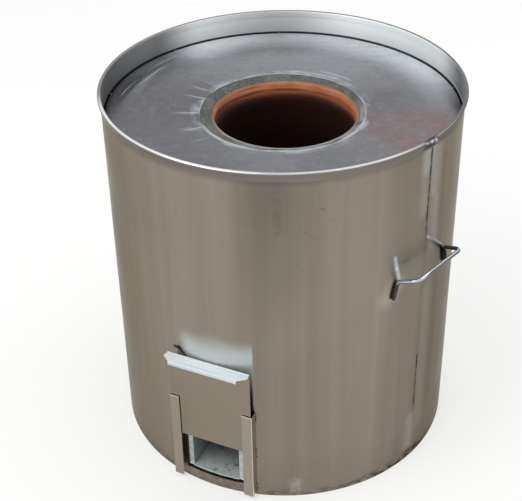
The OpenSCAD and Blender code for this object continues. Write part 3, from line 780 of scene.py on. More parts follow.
# %% The air duct
duct_half, duct_floor, duct_top, duct_t = 52 * mm, 31 * mm, 126 * mm, 0.8 * mm
duct_end, flange_d, flange_w = 229.6 * mm, 341.1 * mm, 10 * mm
duct_z = np.linspace(duct_floor - duct_t, duct_top - 0.1 * mm, 26)[:, None]
duct_walls = []
path = finer(rounded([[duct_half, duct_end], [duct_half, flange_d],
                      [duct_half + flange_w - 0.3 * mm, flange_d]], 1.5 * mm), 5 * mm)
for side, word in ((-1, "left"), (1, "right")):
    bow = 0.6 * mm * lumps(duct_z / 0.12, seed=70 + side) * np.linspace(0, 1, len(path))[None, :] ** 2
    faces = [at_gate(side * (p[None, :, 0] - np.abs(bow) * 0.5), p[None, :, 1] - 0.4 * np.abs(bow), duct_z)
             for p in bent(path, -duct_t)]
    duct_walls.append(shell(f"duct_wall_{word}", *faces,
                            uv=grid_of(path[None, :, 0] + path[None, :, 1], duct_z)))

floor_s = np.linspace(-duct_half, duct_half, 41)[None, :]
floor_front = np.sqrt(wall_in_r ** 2 - floor_s ** 2) - 0.5 * mm
floor_share = np.linspace(0, 1, 40)[:, None]
ragged = 0.5 * mm * floor_share ** 12 * lumps(floor_s / 0.03, seed=75)
floor_d = duct_end + (floor_front - duct_end) * floor_share + ragged
sag = -0.15 * mm + 0.15 * mm * lumps(floor_s / 0.09, floor_d / 0.1, seed=76)
duct_bottom = shell("duct_floor", at_gate(floor_s, floor_d, duct_floor + sag),
                    at_gate(floor_s, floor_d, duct_floor - duct_t + sag), uv=grid_of(floor_s, floor_d))
for piece in (*duct_walls, duct_bottom):
    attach(piece, "oven")
    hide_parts("duct_channel")

# %% [markdown]
# ## Rods and beads
# The handles are bent round rod, and the welds and the solder are beads. All of them are a circle
# carried along a path. The circle stands square to the path, and its radius may change from point to
# point, which makes a bead lumpy or lets it run out to nothing at its ends.

# %% Tubes
def tube(name, paths, radii, lean_from, sides, flat=1.0, seed=None):
    """Closed tubes: circles round each path (n, 3), square to it, with its radius (n,). lean_from has
    a direction for each path that no part of it follows. flat below 1 presses the circle."""
    points, faces, base = [], [], 0
    t = np.linspace(0, 2 * np.pi, sides, endpoint=False)
    for k, (way, r) in enumerate(zip(paths, radii)):
        ahead = unit(np.gradient(way, axis=0))
        one = unit(np.cross(ahead, lean_from[k]))
        two = np.cross(ahead, one)
        r = r[:, None, None]
        if seed is not None:
            along = np.arange(len(way))[:, None]
            r = r * (1 + 0.16 * lumps(along / 9, np.cos(t) * 0.4, np.sin(t) * 0.3, seed=seed + k))[..., None]
        spoke = np.cos(t)[None, :, None] * one[:, None] + flat * np.sin(t)[None, :, None] * two[:, None]
        ring = way[:, None] + r * spoke
        index = base + np.arange(len(way) * sides).reshape(len(way), sides)
        after = np.roll(index, -1, 1)
        faces += np.stack([index[:-1], after[:-1], after[1:], index[1:]], -1).reshape(-1, 4)[:, ::-1].tolist()
        faces += [index[0].tolist(), index[-1][::-1].tolist()]
        points.append(ring.reshape(-1, 3))
        base += len(way) * sides
    mesh = bpy.data.meshes.new(name)
    mesh.from_pydata(np.concatenate(points).tolist(), [], faces)
    return finished(name, mesh, 50)


def turned(points, azimuth):
    """Points drawn at the front, turned round the drum to an azimuth."""
    a = math.radians(azimuth)
    spin = np.array([[math.cos(a), math.sin(a), 0], [-math.sin(a), math.cos(a), 0], [0, 0, 1]])
    return np.asarray(points, float) @ spin


def arcs_3d(corners, radii, steps=12):
    """A path through corners (n, 3), each inner corner replaced by a true arc of its radius."""
    corners = np.asarray(corners, float)
    parts = [corners[:1]]
    for before, corner, after, radius in zip(corners[:-2], corners[1:-1], corners[2:], radii):
        u, v = [w / np.linalg.norm(w) for w in (before - corner, after - corner)]
        half = math.acos(float(u @ v)) / 2
        middle = corner + (u + v) / np.linalg.norm(u + v) * radius / math.sin(half)
        x = corner + u * radius / math.tan(half) - middle
        sweep = np.linspace(0, math.pi - 2 * half, steps)[:, None]
        parts.append(middle + x * np.cos(sweep) - u * radius * np.sin(sweep))
    return np.concatenate(parts + [corners[-1:]])


def tapered(t, blunt, least):
    """1 along the middle of a bead, falling to a root of least at t = 0 and t = 1; blunt is a power."""
    return np.sqrt(np.clip(1 - (2 * t - 1) ** blunt, least, 1))


print("helpers for tubes are ready")

# %% [markdown]
# ## The handles
# Each handle is one rod. Its two feet lie on the wall, splayed a little, and it bends out to a grip
# that stands a hand's width off the drum. The corners are the same as in the CAD source, and the
# bends are true arcs. The ends are ground to a small dome.

# %% The handles
rod_r, foot_l, grip_l, handle_span, splay = 4 * mm, 38 * mm, 139 * mm, 152 * mm, 9 * mm
handle_z, grip_rise, grip_d = 487 * mm, 15 * mm, drum_r + 35 * mm
foot_s = handle_span / 2 + splay


def wall_y(s):
    """Y of the rod's middle line where it lies on the drum at the front, s to the side."""
    return -math.sqrt((drum_r + rod_r) ** 2 - s * s)


knee_s = handle_span / 2
right_side = [[grip_l / 2, -grip_d, handle_z + grip_rise], [knee_s, wall_y(knee_s), handle_z],
              [foot_s, wall_y(foot_s), handle_z - foot_l]]
rod_corners = [[-s, y, z] for s, y, z in right_side[::-1]] + right_side
foot_bend, grip_bend, dome = 8 * mm, 14 * mm, 2 * mm
rod_path = finer(arcs_3d(rod_corners, [foot_bend, grip_bend, grip_bend, foot_bend]), 6 * mm)
from_end = length_along(rod_path)
from_end = np.minimum(from_end, from_end[-1] - from_end)
rod_radius = (rod_r - 0.03 * mm) * np.sqrt(1 - (1 - np.clip(from_end / dome, 0, 1)) ** 2 * 0.5)
handles = []
for word, azimuth in (("right", seam_az), ("left", seam_az + 180)):
    handle = tube(f"handle_rod_{word}", [turned(rod_path, azimuth)], [rod_radius],
                  turned([[0, 0.5, -0.86]], azimuth), sides=24)
    handles.append(handle)
    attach(handle, "oven")
    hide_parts(f"handle_{word}")

# %% [markdown]
# ## The handles' welds
# The feet are stick welded along both sides, and the scale was left black. A weld bead is a row of
# overlapping puddles, so its radius swells and shrinks along it.

# %% The handles' welds
bead_r, bead_side = 1.55 * mm, 2.9 * mm
t = np.linspace(0, 1, 34)
puddles = bead_r * tapered(t, 8, 0.03) * (0.86 + 0.12 * np.cos(t * 60))
weld_paths, weld_lean = [], []
for azimuth, side, beside in itertools.product((seam_az, seam_az + 180), (-1, 1), (-bead_side, bead_side)):
    low = np.array([side * foot_s + beside, 0, handle_z - foot_l + 1 * mm])
    high = np.array([side * knee_s + beside, 0, handle_z - 7 * mm])
    way = low + (high - low) * t[:, None]
    way[:, 1] = -np.sqrt((drum_r + 1.2 * mm) ** 2 - way[:, 0] ** 2)
    weld_paths.append(turned(way, azimuth))
    weld_lean.append(turned([[0, 1, 0]], azimuth)[0])
foot_welds = tube("handle_weld_beads", weld_paths, [puddles] * len(weld_paths), weld_lean, sides=12, seed=80)
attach(foot_welds, "oven")
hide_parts("handle_welds")

# %% [markdown]
# ## The solder at the rim
# The gap in the rim is closed with a blob of solder, which has run a little way along the fold and
# down the skirt. Each run is a bead again, flat and thick at the seam and thin at its other end.

# %% The solder
t = np.linspace(0, 1, 44)
solder_az = seam_az + 0.75 - 5.2 * t
ride_r = rim_out_r - 1.6 * mm + 0.5 * mm * np.sin(t * 9)
run_path = round_points(solder_az, ride_r, round_z + 1.2 * mm)
blobs = 4.4 * bell(t, 0.17, 0.11) + 2.9 * bell(t, 0.50, 0.20) + 1.0 * bell(t, 0.82, 0.10)
run_radius = mm * (1.3 + blobs) * tapered(t, 12, 0.05)
run_path[:, 2] -= np.clip(run_radius - 2.6 * mm, 0, 1) * 0.80
drip_path = round_points(seam_az - 0.15 - 0.9 * t, drum_r + 3.4 * mm - 1.6 * mm * t,
                         round_z + 1.5 * mm - 11 * mm * t)
drip_radius = mm * (2.4 - 1.4 * t + 0.4 * bell(t, 0.85, 0.08)) * tapered(t, 12, 0.05)
solder = tube("rim_solder_run", [run_path, drip_path], [run_radius, drip_radius], [(0, 0, 1), (1, 0, 0)],
              sides=16, flat=0.72, seed=90)
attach(solder, "oven")
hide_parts("rim_solder")

# %% [markdown]
# ## Shared effects
# Several finishes need the same things: fine brushed grain, hand smudges, soft upright bands of painted
# reflection round the drum and single soft strokes. Each is a small node group that is built once. It takes a
# vector and a few sizes, and gives back values that change over the surface, which the finishes then mix into
# colour, roughness and bump.

# %% Group: brushed grain
grain_group, came, went = new_group("brushed grain", {"Vector": None, "Across": 900.0, "Along": 8.0},
                                    {"Tone": None, "Height": None})
rates = vector_of(came["Along"], came["Across"], came["Along"])
fine_at = vector_math("MULTIPLY", came["Vector"], rates)["Vector"]
fine = noise(fine_at, 1.0, 3.0, 0.6)
coarse = noise(fine_at, 0.21)
tone = calc("ADD", times(fine, 0.6), times(coarse, 0.4))
connect(went, Tone=tone, Height=fine)
print("group:", grain_group.name)

# %% Group: smudges
smudge_group, came, went = new_group("smudges", {"Vector": None, "Scale": 6.0, "Spread": 0.5},
                                     {"Smudge": None, "Speck": None})
warp = noise(came["Vector"], came["Scale"], 2.0, 0.45)
upper = calc("ADD", came["Spread"], 0.22)
dot_scale = times(came["Scale"], 14.0)
dots = add("ShaderNodeTexVoronoi", {"Vector": came["Vector"], "Scale": dot_scale}).outputs
connect(went, Smudge=between(warp, came["Spread"], upper), Speck=between(dots["Distance"], 0.10, 0.03))
print("group:", smudge_group.name)

# %% Group: painted reflection tone round the drum
def bands_of(turns, table):
    """A colour ramp over one turn of the drum, from (degrees, tone) pairs, with soft steps."""
    ramp = add("ShaderNodeValToRGB", {0: turns})
    ramp.color_ramp.interpolation = "EASE"
    while len(ramp.color_ramp.elements) < len(table):
        ramp.color_ramp.elements.new(0.5)
    for stop, (degrees, value) in zip(ramp.color_ramp.elements, table):
        stop.position, stop.color = degrees / 360 + 0.5, (value, value, value, 1)
    return ramp.outputs[0]


def azimuth_of(axes):
    """The angle round the drum, in radians from the front."""
    return calc("ARCTAN2", axes["X"], times(axes["Y"], -1.0))


# Tone tables of painted reflection: soft upright bands round the drum, low and high on the wall. The group
# below mixes them by height and breaks them into streaks.
low_reflection_bands = [(-180, 0.90), (-130, 1.0), (-80, 0.85), (-30, 1.0), (-5, 0.90), (25, 1.0), (45, 0.85),
             (60, 0.75), (180, 0.90)]
high_reflection_bands = [(-180, 0.90), (-130, 1.0), (-80, 0.85), (-20, 1.0), (-5, 0.65), (20, 1.0), (45, 0.80),
              (60, 0.80), (180, 0.90)]
reflection_band_group, came, went = new_group("painted reflection tone round the drum", {"Vector": None}, {"Tone": None, "Turns": None})
axes = axes_of(came["Vector"])
turns = calc("ADD", calc("DIVIDE", azimuth_of(axes), 2 * math.pi), 0.5)
tone = mixed(between(axes["Z"], 0.38, 0.735), bands_of(turns, low_reflection_bands), bands_of(turns, high_reflection_bands))
for rate, swing in ((46.0, 0.055), (170.0, 0.028)):
    streak_at = vector_of(times(turns, rate), times(axes["Z"], 1.1))
    streak = noise(streak_at, 1.0)
    tone = times(tone, between(streak, 0.25, 0.75, 1 - swing, 1 + swing))
connect(went, Tone=tone, Turns=turns)
print("group:", reflection_band_group.name)

# %% [markdown]
# A stroke is a soft line from one point to another. The nearest point of the line is found by a dot product,
# and the distance from it gives the mask. Painted reflections of the handle and of the lip's end, painted
# shade beside the right guide, the dark seam and scratches are all strokes, listed in tables.

# %% Group: stroke
stroke_group, came, went = new_group("stroke", {"Vector": None, "From": None, "To": None, "Width": 0.01},
                                     {"Mask": None})
reach = vector_math("SUBTRACT", came["Vector"], came["From"])["Vector"]
span = vector_math("SUBTRACT", came["To"], came["From"])["Vector"]
part = calc("DIVIDE", vector_math("DOT_PRODUCT", reach, span)["Value"],
            vector_math("DOT_PRODUCT", span, span)["Value"], clamp=True)
nearest = vector_math("SCALE", span, scale=part)["Vector"]
away = vector_math("DISTANCE", reach, nearest)["Value"]
connect(went, Mask=between(calc("DIVIDE", away, came["Width"]), 1.0, 0.0))


def strokes_on(colour, spot, azimuth, break_up, table):
    """Mixes soft strokes into a colour. Each row of the table has two ends, as s and z in metres on the
    wall at an azimuth, a width, a share, a tint, and 1 if noise breaks the stroke up."""
    axes = turned_axes(spot, azimuth)
    on_wall = vector_of(axes["X"], axes["Z"])
    in_front = between(axes["Y"], -0.15, -0.22)
    for s0, z0, s1, z1, width, share, tint, broken in table:
        ends = {"Vector": on_wall, "From": (s0, z0, 0), "To": (s1, z1, 0), "Width": width}
        mask = times(use(stroke_group, ends)["Mask"], in_front, share)
        colour = painted(colour, (times(mask, break_up) if broken else mask, tint))
    return colour


print("group:", stroke_group.name)

# %% [markdown]
# ## Drum steel
# The drum is polished sheet with a faint horizontal grain. It mirrors what is near it, but softly and mostly
# up and down, so the finish is anisotropic along the sheet's own direction. Soft upright bands of painted
# reflection run down it, and the low part is a little darker. Painted shade lies under the rim, and a hazy
# bright patch of painted reflection of the lip's film stands above the pull lip. Three tables of strokes
# follow: round the seam, round the gate, and on the open wall.

# %% Drum steel
def steel_base(vector, colour, dull, tones):
    """A colour times every tone in a list and dulled by smudges, and the smudges' mask."""
    smudge = use(smudge_group, {"Vector": vector, "Scale": 3.0, "Spread": 0.42})["Smudge"]
    total = times(calc("SUBTRACT", 1.0, times(smudge, dull)), *tones)
    grey = add("ShaderNodeCombineColor", {0: total, 1: total, 2: total}).outputs[0]
    return mixed(1.0, grey, srgb(*colour), "MULTIPLY"), smudge


def sheet_direction(skin):
    """Turns the highlights along the sheet's own U direction and returns its UV vector."""
    along = add("ShaderNodeTangent", direction_type="UV_MAP", uv_map="sheet").outputs[0]
    connect(skin.inputs, Tangent=along)
    return add("ShaderNodeUVMap", uv_map="sheet").outputs[0]


edge_tint = srgb(206, 202, 194)
drum_steel, skin = finish_of("drum steel", Specular_Tint=edge_tint, Anisotropic=0.75,
                             Anisotropic_Rotation=0.25)
uv = sheet_direction(skin)
spot = place()
reflection_bands = use(reflection_band_group, {"Vector": spot})
grain = use(grain_group, {"Vector": uv, "Across": 650.0, "Along": 7.0})
fine_tone = between(grain["Tone"], 0.3, 0.7, 0.975, 1.02)
height = axes_of(spot)["Z"]
# Darker towards the bottom, and a band of painted shade under the rim's skirt.
darker_low = between(height, 0.0, 0.13, 0.92, 1.0)
shade_under_rim = between(height, 0.742, 0.728, 0.78, 1.0)
colour, _ = steel_base(spot, (143, 135, 123), 0.03, [reflection_bands["Tone"], fine_tone, darker_low, shade_under_rim])

gate_axes = turned_axes(spot, gate_az)
waver = noise(spot, 9.0)
# A hazy bright patch above the pull lip, less metallic, is a painted reflection of the white film on the lip.
side_fade = times(between(gate_axes["X"], -0.072, -0.044), between(gate_axes["X"], 0.089, 0.085))
up_fade = between(calc("ADD", gate_axes["Z"], times(waver, 0.05)), 0.424, 0.366)
above_lip = between(gate_axes["Z"], 0.250, 0.322)
in_front = between(gate_axes["Y"], -0.25, -0.30)
lip_reflection = times(side_fade, up_fade, above_lip, in_front)
colour = painted(colour, (times(lip_reflection, 0.9), (205, 212, 213)))

jagged = between(noise(spot, 55.0, 4.0, 0.7), 0.38, 0.56, 0.1, 1.0)
pale, handle_reflection_blue, faint = (178, 174, 164), (204, 213, 224), (96, 88, 78)
dark_line, lip_end_reflection_dark = (52, 47, 44), (30, 32, 36)
seam_strokes = [
    (0.022, 0.736, 0.030, 0.530, 0.030, 0.40, (170, 170, 164), 0),
    (-0.012, 0.736, -0.012, 0.700, 0.022, 0.42, (180, 184, 180), 0),
    (-0.014, 0.730, -0.013, 0.610, 0.022, 0.30, (168, 170, 162), 0),
    (0.010, 0.735, 0.014, 0.640, 0.014, 0.35, (178, 180, 180), 1),
    (0.017, 0.420, 0.022, 0.080, 0.026, 0.28, (156, 156, 158), 0),
    (-0.008, 0.105, -0.009, 0.035, 0.026, 0.42, (170, 170, 170), 0),
    (0.048, 0.700, 0.055, 0.120, 0.020, 0.25, (84, 76, 70), 0),
    (0.001, 0.735, -0.001, 0.560, 0.0052, 0.9, dark_line, 1),
    (0.0005, 0.270, 0.0, 0.140, 0.0046, 0.9, dark_line, 1),
    (-0.015, 0.010, 0.050, 0.002, 0.022, 0.85, dark_line, 1),
    # Painted reflections of the right handle: its arm and its near foot in bluish light, and a dark line for
    # the underside of its grip.
    (0.006, 0.548, 0.066, 0.496, 0.0052, 0.85, handle_reflection_blue, 0),
    (-0.081, 0.540, -0.076, 0.514, 0.0066, 0.75, handle_reflection_blue, 0),
    (-0.076, 0.516, -0.069, 0.490, 0.0060, 0.75, handle_reflection_blue, 0),
    (-0.062, 0.523, 0.006, 0.521, 0.0100, 0.45, (92, 86, 80), 1),
    (-0.096, 0.452, -0.074, 0.478, 0.034, 0.45, pale, 0)]
gate_strokes = [
    # Painted reflection of the lip's left end: a dark hook and a light stroke beside it.
    (-0.078, 0.3345, -0.066, 0.3360, 0.0065, 0.95, lip_end_reflection_dark, 0),
    (-0.066, 0.3370, -0.050, 0.3190, 0.0055, 0.95, lip_end_reflection_dark, 0),
    (-0.072, 0.3260, -0.064, 0.3240, 0.0045, 0.8, (190, 192, 198), 0),
    (0.162, 0.040, 0.165, 0.010, 0.018, 0.6, pale, 1),
    # The window's edges: a pale jagged line on the left, and painted shade beside the right guide.
    (-0.0676, 0.030, -0.0676, 0.128, 0.0024, 0.9, pale, 1),
    (0.0676, 0.030, 0.0676, 0.128, 0.0024, 0.8, dark_line, 1)]
scratches = [(0.012, 0.654, 0.044, 0.632, 0.0030, 0.28, faint, 1),
             (0.040, 0.636, 0.062, 0.620, 0.0026, 0.32, faint, 1),
             (0.080, 0.6575, 0.087, 0.6590, 0.0034, 0.60, faint, 1),
             (0.066, 0.684, 0.072, 0.680, 0.0030, 0.45, faint, 1),
             (0.056, 0.420, 0.058, 0.417, 0.0032, 0.50, faint, 1),
             (0.020, 0.576, 0.034, 0.560, 0.0026, 0.26, faint, 1),
             (0.188, 0.630, 0.190, 0.626, 0.0034, 0.45, faint, 1),
             (-0.012, 0.735, -0.010, 0.640, 0.0130, 0.35, faint, 1)]
for around, table in ((seam_az, seam_strokes), (gate_az, gate_strokes), (0, scratches)):
    colour = strokes_on(colour, spot, around, jagged, table)

dirt = noise(stretched(spot, (1, 1, 2.2)), 42.0, 4.0, 0.7)
right_foot = between(reflection_bands["Turns"], 0.52, 0.62)
foot = times(between(height, 0.030, 0.0), between(dirt, 0.44, 0.60), between(right_foot, 0, 1, 0.45, 0.95))
sill = times(between(height, 0.034, 0.022),
             between(calc("ABSOLUTE", gate_axes["X"]), 0.075, 0.064), in_front)
colour = painted(colour, (foot, (52, 48, 45)),
                 (times(sill, between(dirt, 0.40, 0.62), 0.75), (118, 102, 90)),
                 (times(sill, between(dirt, 0.60, 0.70), 0.8), (190, 182, 172)))
connect(skin.inputs, Base_Color=colour, Metallic=calc("SUBTRACT", 1.0, times(lip_reflection, 0.55)),
        Roughness=between(waver, 0.3, 0.7, 0.25, 0.33), Normal=bumped(grain["Height"], 0.03, 0.0004))
print(drum_steel.name, len(trees[-1].nodes), "nodes")

# %% [markdown]
# ## Fold, guide and gate steel
# The gate and the guides are cut from the same sheet, without the bands of painted reflection. The rim's fold
# carries a painted highlight along its top at the front, and the sheared ends of the guides are bright metal:
# both carry the edge attribute, which lightens the metal. Elsewhere the fold carries painted shade, darkest
# past the seam and round the solder. The guides' faces that look along the wall get painted light.

# %% Fold steel and gate steel
def fold_steel(name, metal, bright, rough, highlight_bands=None, side_light=None):
    """Steel for small folded pieces: grain, smudges, and brighter metal where the edge attribute is 1.
    highlight_bands is a table of bands that says how bright that metal is round the drum, as a painted
    highlight; where it is dim, the fold gets painted shade. side_light is a colour of painted light for the
    faces that look along the wall."""
    made, skin = finish_of(name, Metallic=1.0, Specular_Tint=edge_tint, Anisotropic=0.5,
                           Anisotropic_Rotation=0.25)
    uv, spot = sheet_direction(skin), place()
    grain = use(grain_group, {"Vector": uv, "Across": 1300.0, "Along": 12.0})
    colour, smudge = steel_base(spot, metal, 0.08, [between(grain["Tone"], 0.3, 0.7, 0.95, 1.04)])
    # The edge attribute, broken up by noise: a painted highlight on the rim's fold, and bright cut metal on
    # the guides' ends.
    patchy = between(noise(spot, 7.0, 3.0), 0.30, 0.5, 0.65, 1.0)
    bright_edge = times(add("ShaderNodeAttribute", attribute_name="edge").outputs["Fac"], patchy)
    if highlight_bands:
        turns = use(reflection_band_group, {"Vector": spot})["Turns"]
        lit = bands_of(turns, highlight_bands)
        # Painted shade on the fold where it is not lit, past the seam and round the solder blob, and the
        # highlight is left off near the solder.
        unlit = times(bright_edge, calc("SUBTRACT", 1.0, lit), 0.85)
        shade_past_seam = times(between(turns, 0.638, 0.648), between(turns, 0.80, 0.72), 0.75)
        from_solder = vector_math("DISTANCE", spot, (0.2615, -0.2400, 0.7500))["Value"]
        colour = painted(colour, (unlit, (92, 91, 97)), (shade_past_seam, (98, 94, 101)),
                         (between(from_solder, 0.026, 0.010, 0, 0.75), (62, 58, 62)))
        bright_edge = times(bright_edge, lit, between(from_solder, 0.012, 0.026))
    if side_light:
        # Painted light on the faces that look along the wall.
        a = math.radians(gate_az)
        normal = add("ShaderNodeNewGeometry").outputs["Normal"]
        along_wall = vector_math("DOT_PRODUCT", normal, (math.cos(a), math.sin(a), 0))["Value"]
        colour = painted(colour, (between(along_wall, 0.45, 0.85, 0, 0.9), side_light))
    connect(skin.inputs, Base_Color=painted(colour, (bright_edge, bright)),
            Roughness=between(smudge, 0, 1, rough, rough + 0.1),
            Normal=bumped(grain["Height"], 0.08, 0.0004))
    print(name, len(trees[-1].nodes), "nodes")
    return made


# The rim's painted highlight is bright at the front, from -70 to 20 degrees, and dim elsewhere.
rim_steel = fold_steel("rim steel", (124, 119, 112), (252, 253, 255), 0.24,
                       [(-180, 0.2), (-85, 0.2), (-70, 0.8), (20, 0.8), (50, 0.1), (180, 0.2)])
guide_steel = fold_steel("guide steel", (158, 149, 138), (228, 222, 214), 0.32, side_light=(226, 216, 202))
gate_steel = fold_steel("gate steel", (140, 131, 116), (200, 198, 190), 0.28)

# %% [markdown]
# ## Tray steel
# The tray reflects the sky, so it looks cooler than the drum. Its colour is mostly painted reflection: it
# grows lighter towards the back and the right, broad soft pools of painted reflection lie on it, and a bright
# haze of painted reflection stands along the wall at its back. The gap between tray and wall is painted dark
# as shade.

# %% Tray steel
tray_steel, skin = finish_of("tray steel")
spot = place()
axes = axes_of(spot)
radius, azimuth = from_axis(axes), azimuth_of(axes)
grain = use(grain_group, {"Vector": spot, "Across": 500.0, "Along": 9.0})
cloud = noise(spot, 5.5, 3.0)
mottled = noise(spot, 75.0, 5.0, 0.7)
blotch = noise(spot, 16.0, 4.0, 0.6)
# Painted reflection: lighter towards the right and the back, in soft clouds.
reflected_light = calc("ADD", between(axes["X"], -0.28, 0.05, 0, 0.27), between(axes["Y"], 0.0, 0.34, 0, 0.56))
reflected_light = calc("ADD", reflected_light, times(calc("SUBTRACT", cloud, 0.5), 0.8), clamp=True)
colour = mixed(reflected_light, srgb(100, 100, 106), srgb(160, 164, 168))

tray_z = 0.704
# Pools of painted reflection: warm ones of the drum wall, grey ones, and a pale one at the back on the left.
reflection_pools = [(0.26, -0.12, 0.17, 0.80, (130, 105, 101)), (0.20, -0.05, 0.10, 0.55, (122, 102, 101)),
         (0.21, 0.03, 0.09, 0.60, (94, 90, 95)), (-0.24, -0.06, 0.16, 0.35, (96, 95, 102)),
         (0.08, -0.22, 0.13, 0.50, (104, 104, 109)), (-0.155, 0.260, 0.075, 0.45, (206, 212, 216))]
for x, y, size, share, tint in reflection_pools:
    away = vector_math("DISTANCE", spot, (x, y, tray_z))["Value"]
    reflection_pool = times(between(away, size, size * 0.2), between(blotch, 0.34, 0.62, 0.35, 1.0))
    colour = painted(colour, (times(reflection_pool, share), tint))
pale_reflection_pool = reflection_pool

# A bright haze of painted reflection of the wall, along the back of the tray.
wall_reflection_bands = [(-180, 0.7), (-150, 1.0), (-130, 0.3), (-80, 0.0), (80, 0.0), (120, 1.0), (180, 0.7)]
wall_reflection_haze = times(bands_of(use(reflection_band_group, {"Vector": spot})["Turns"], wall_reflection_bands),
             between(radius, 0.258, 0.336), between(blotch, 0.30, 0.60, 0.84, 1.0))
# Painted shade fills the gap between the tray's edge and the wall, a little narrower on the right.
gap_shade_radius = calc("SUBTRACT", radius, between(axes["X"], 0.20, 0.30, 0, 0.0024))
colour = painted(colour, (times(wall_reflection_haze, 0.95), (226, 231, 236)),
                 (between(mottled, 0.52, 0.72, 0, 0.16), (190, 190, 194)),
                 (between(mottled, 0.48, 0.30, 0, 0.22), (66, 65, 70)),
                 (between(grain["Tone"], 0.35, 0.65, 0, 0.14), (92, 91, 95)),
                 (between(gap_shade_radius, 0.3440, 0.3458, 0, 0.9), (24, 24, 26)))
print(len(trees[-1].nodes), "nodes so far")

# %% [markdown]
# Dried mortar was wiped off the tray with a wet cloth, which left white smears round the mortar ring and a
# few drips. Long painted highlights lie along the ripples on the left, and pale arcs lie behind the mortar
# ring. Every mask is a band across the radius, broken up by noise that is stretched round the mouth.

# %% Smears, drips and painted ripple highlights
swirl = vector_of(times(azimuth, 1.7), times(radius, 30.0))
wiped = noise(swirl, 1.6, 4.0, 0.55, 0.5)
smear = times(between(wiped, 0.46, 0.66), between(radius, 0.186, 0.162), 0.75)
rays = vector_of(times(azimuth, 16.0), times(radius, 5.0))
drips = times(between(noise(rays, 1.0, 3.0, 0.5, 0.8), 0.56, 0.66),
              between(radius, 0.225, 0.165), between(axes["X"], -0.13, -0.17), 0.8)
ring_line = times(between(radius, 0.1665, 0.1620), between(wiped, 0.40, 0.58), 0.9)
front_arc = times(between(radius, 0.1720, 0.1630), between(axes["Y"], -0.04, -0.10),
                  between(wiped, 0.28, 0.50, 0.25, 1.0))


def arc_band(middle, width, az_low, az_high):
    """A curved line: a band across the radius that fades at both ends of its angle, in degrees."""
    centre = calc("ADD", times(cloud, 0.02), middle - 0.01)
    off = calc("ABSOLUTE", calc("SUBTRACT", radius, centre))
    ends = (math.radians(az) for az in (az_low, az_low + 7, az_high, az_high - 7))
    low, low_in, high, high_in = ends
    return times(between(off, width, 0.0), between(azimuth, low, low_in), between(azimuth, high, high_in))


def brightest(*masks):
    """The largest of some masks at every point."""
    best = masks[0]
    for mask in masks[1:]:
        best = calc("MAXIMUM", best, mask)
    return best


# Painted highlights along the ripples on the left, and pale arcs behind the mortar ring.
ripple_highlights_and_arcs = brightest(arc_band(0.325, 0.004, -140, -96), times(arc_band(0.309, 0.003, -132, -104), 0.8))
back_arc = brightest(arc_band(0.175, 0.007, 136, 178), times(arc_band(0.188, 0.005, 130, 158), 0.7))
ripple_highlights_and_arcs = brightest(times(ripple_highlights_and_arcs, between(wiped, 0.36, 0.55)),
                   times(back_arc, between(wiped, 0.34, 0.52, 0.2, 1.0)))
white = brightest(calc("ADD", smear, drips, clamp=True), ring_line, front_arc, times(ripple_highlights_and_arcs, 0.75))
dull = brightest(white, pale_reflection_pool, wall_reflection_haze)
matte = brightest(times(white, 0.5), times(wall_reflection_haze, 0.8))
connect(skin.inputs, Base_Color=painted(colour, (times(white, 0.80), (206, 213, 219))),
        Roughness=calc("ADD", between(cloud, 0.3, 0.7, 0.20, 0.32), times(dull, 0.35), clamp=True),
        Metallic=calc("SUBTRACT", 1.0, matte), Normal=bumped(cloud, 0.2, 0.002))
print(tray_steel.name, len(trees[-1].nodes), "nodes")

# %% [markdown]
# ## Inside wall
# Above the tray the inside of the drum shows, greyer and duller, with upright bands of painted reflection.
# There is a painted highlight above the gap on the right and painted shade in the gap along the tray's edge.
# It is a second slot on the drum and on the rim, given to their faces that look inwards.

# %% Inside steel
inside_steel, skin = finish_of("inside steel", Metallic=1.0, Anisotropic=0.5, Anisotropic_Rotation=0.25)
uv = sheet_direction(skin)
spot = place()
turns = use(reflection_band_group, {"Vector": spot})["Turns"]
grain = use(grain_group, {"Vector": uv, "Across": 1200.0, "Along": 9.0})
# Upright bands of painted reflection on the inside wall, which is also darker towards the tray.
inner_reflection_bands = [(-180, 0.7), (-150, 1.0), (-130, 0.3), (-90, 0.15), (95, 0.25), (115, 1.0), (155, 1.0),
               (180, 0.7)]
height = axes_of(spot)["Z"]
colour, smudge = steel_base(spot, (248, 251, 252), 0.06,
                            [bands_of(turns, inner_reflection_bands), between(grain["Tone"], 0.3, 0.7, 0.97, 1.03),
                             between(height, 0.712, 0.745, 0.80, 1.0)])
# A painted highlight on the right just above the gap, and painted shade in the gap along the tray's edge.
highlight_above_gap = times(between(height, 0.7125, 0.7140), between(height, 0.7175, 0.7155),
                   between(turns, 0.93, 0.86), between(turns, 0.55, 0.65), 0.6)
colour = painted(colour, (highlight_above_gap, (214, 218, 220)),
                 (between(height, 0.7130, 0.7108, 0, 0.93), (26, 26, 28)))
connect(skin.inputs, Base_Color=colour, Roughness=between(smudge, 0, 1, 0.66, 0.76))
print(inside_steel.name, len(trees[-1].nodes), "nodes")

# %% [markdown]
# ## Clay, mortar and brick
# Fired clay is warm and matte, with a painted highlight along the lip and painted shade down the band, into
# the groove and on the left of the mouth. It has streaks where it was smoothed on the turn, and smoke has
# blackened it below the neck. Mortar is a grey-green paste with sand in it. The fire bricks are pale.

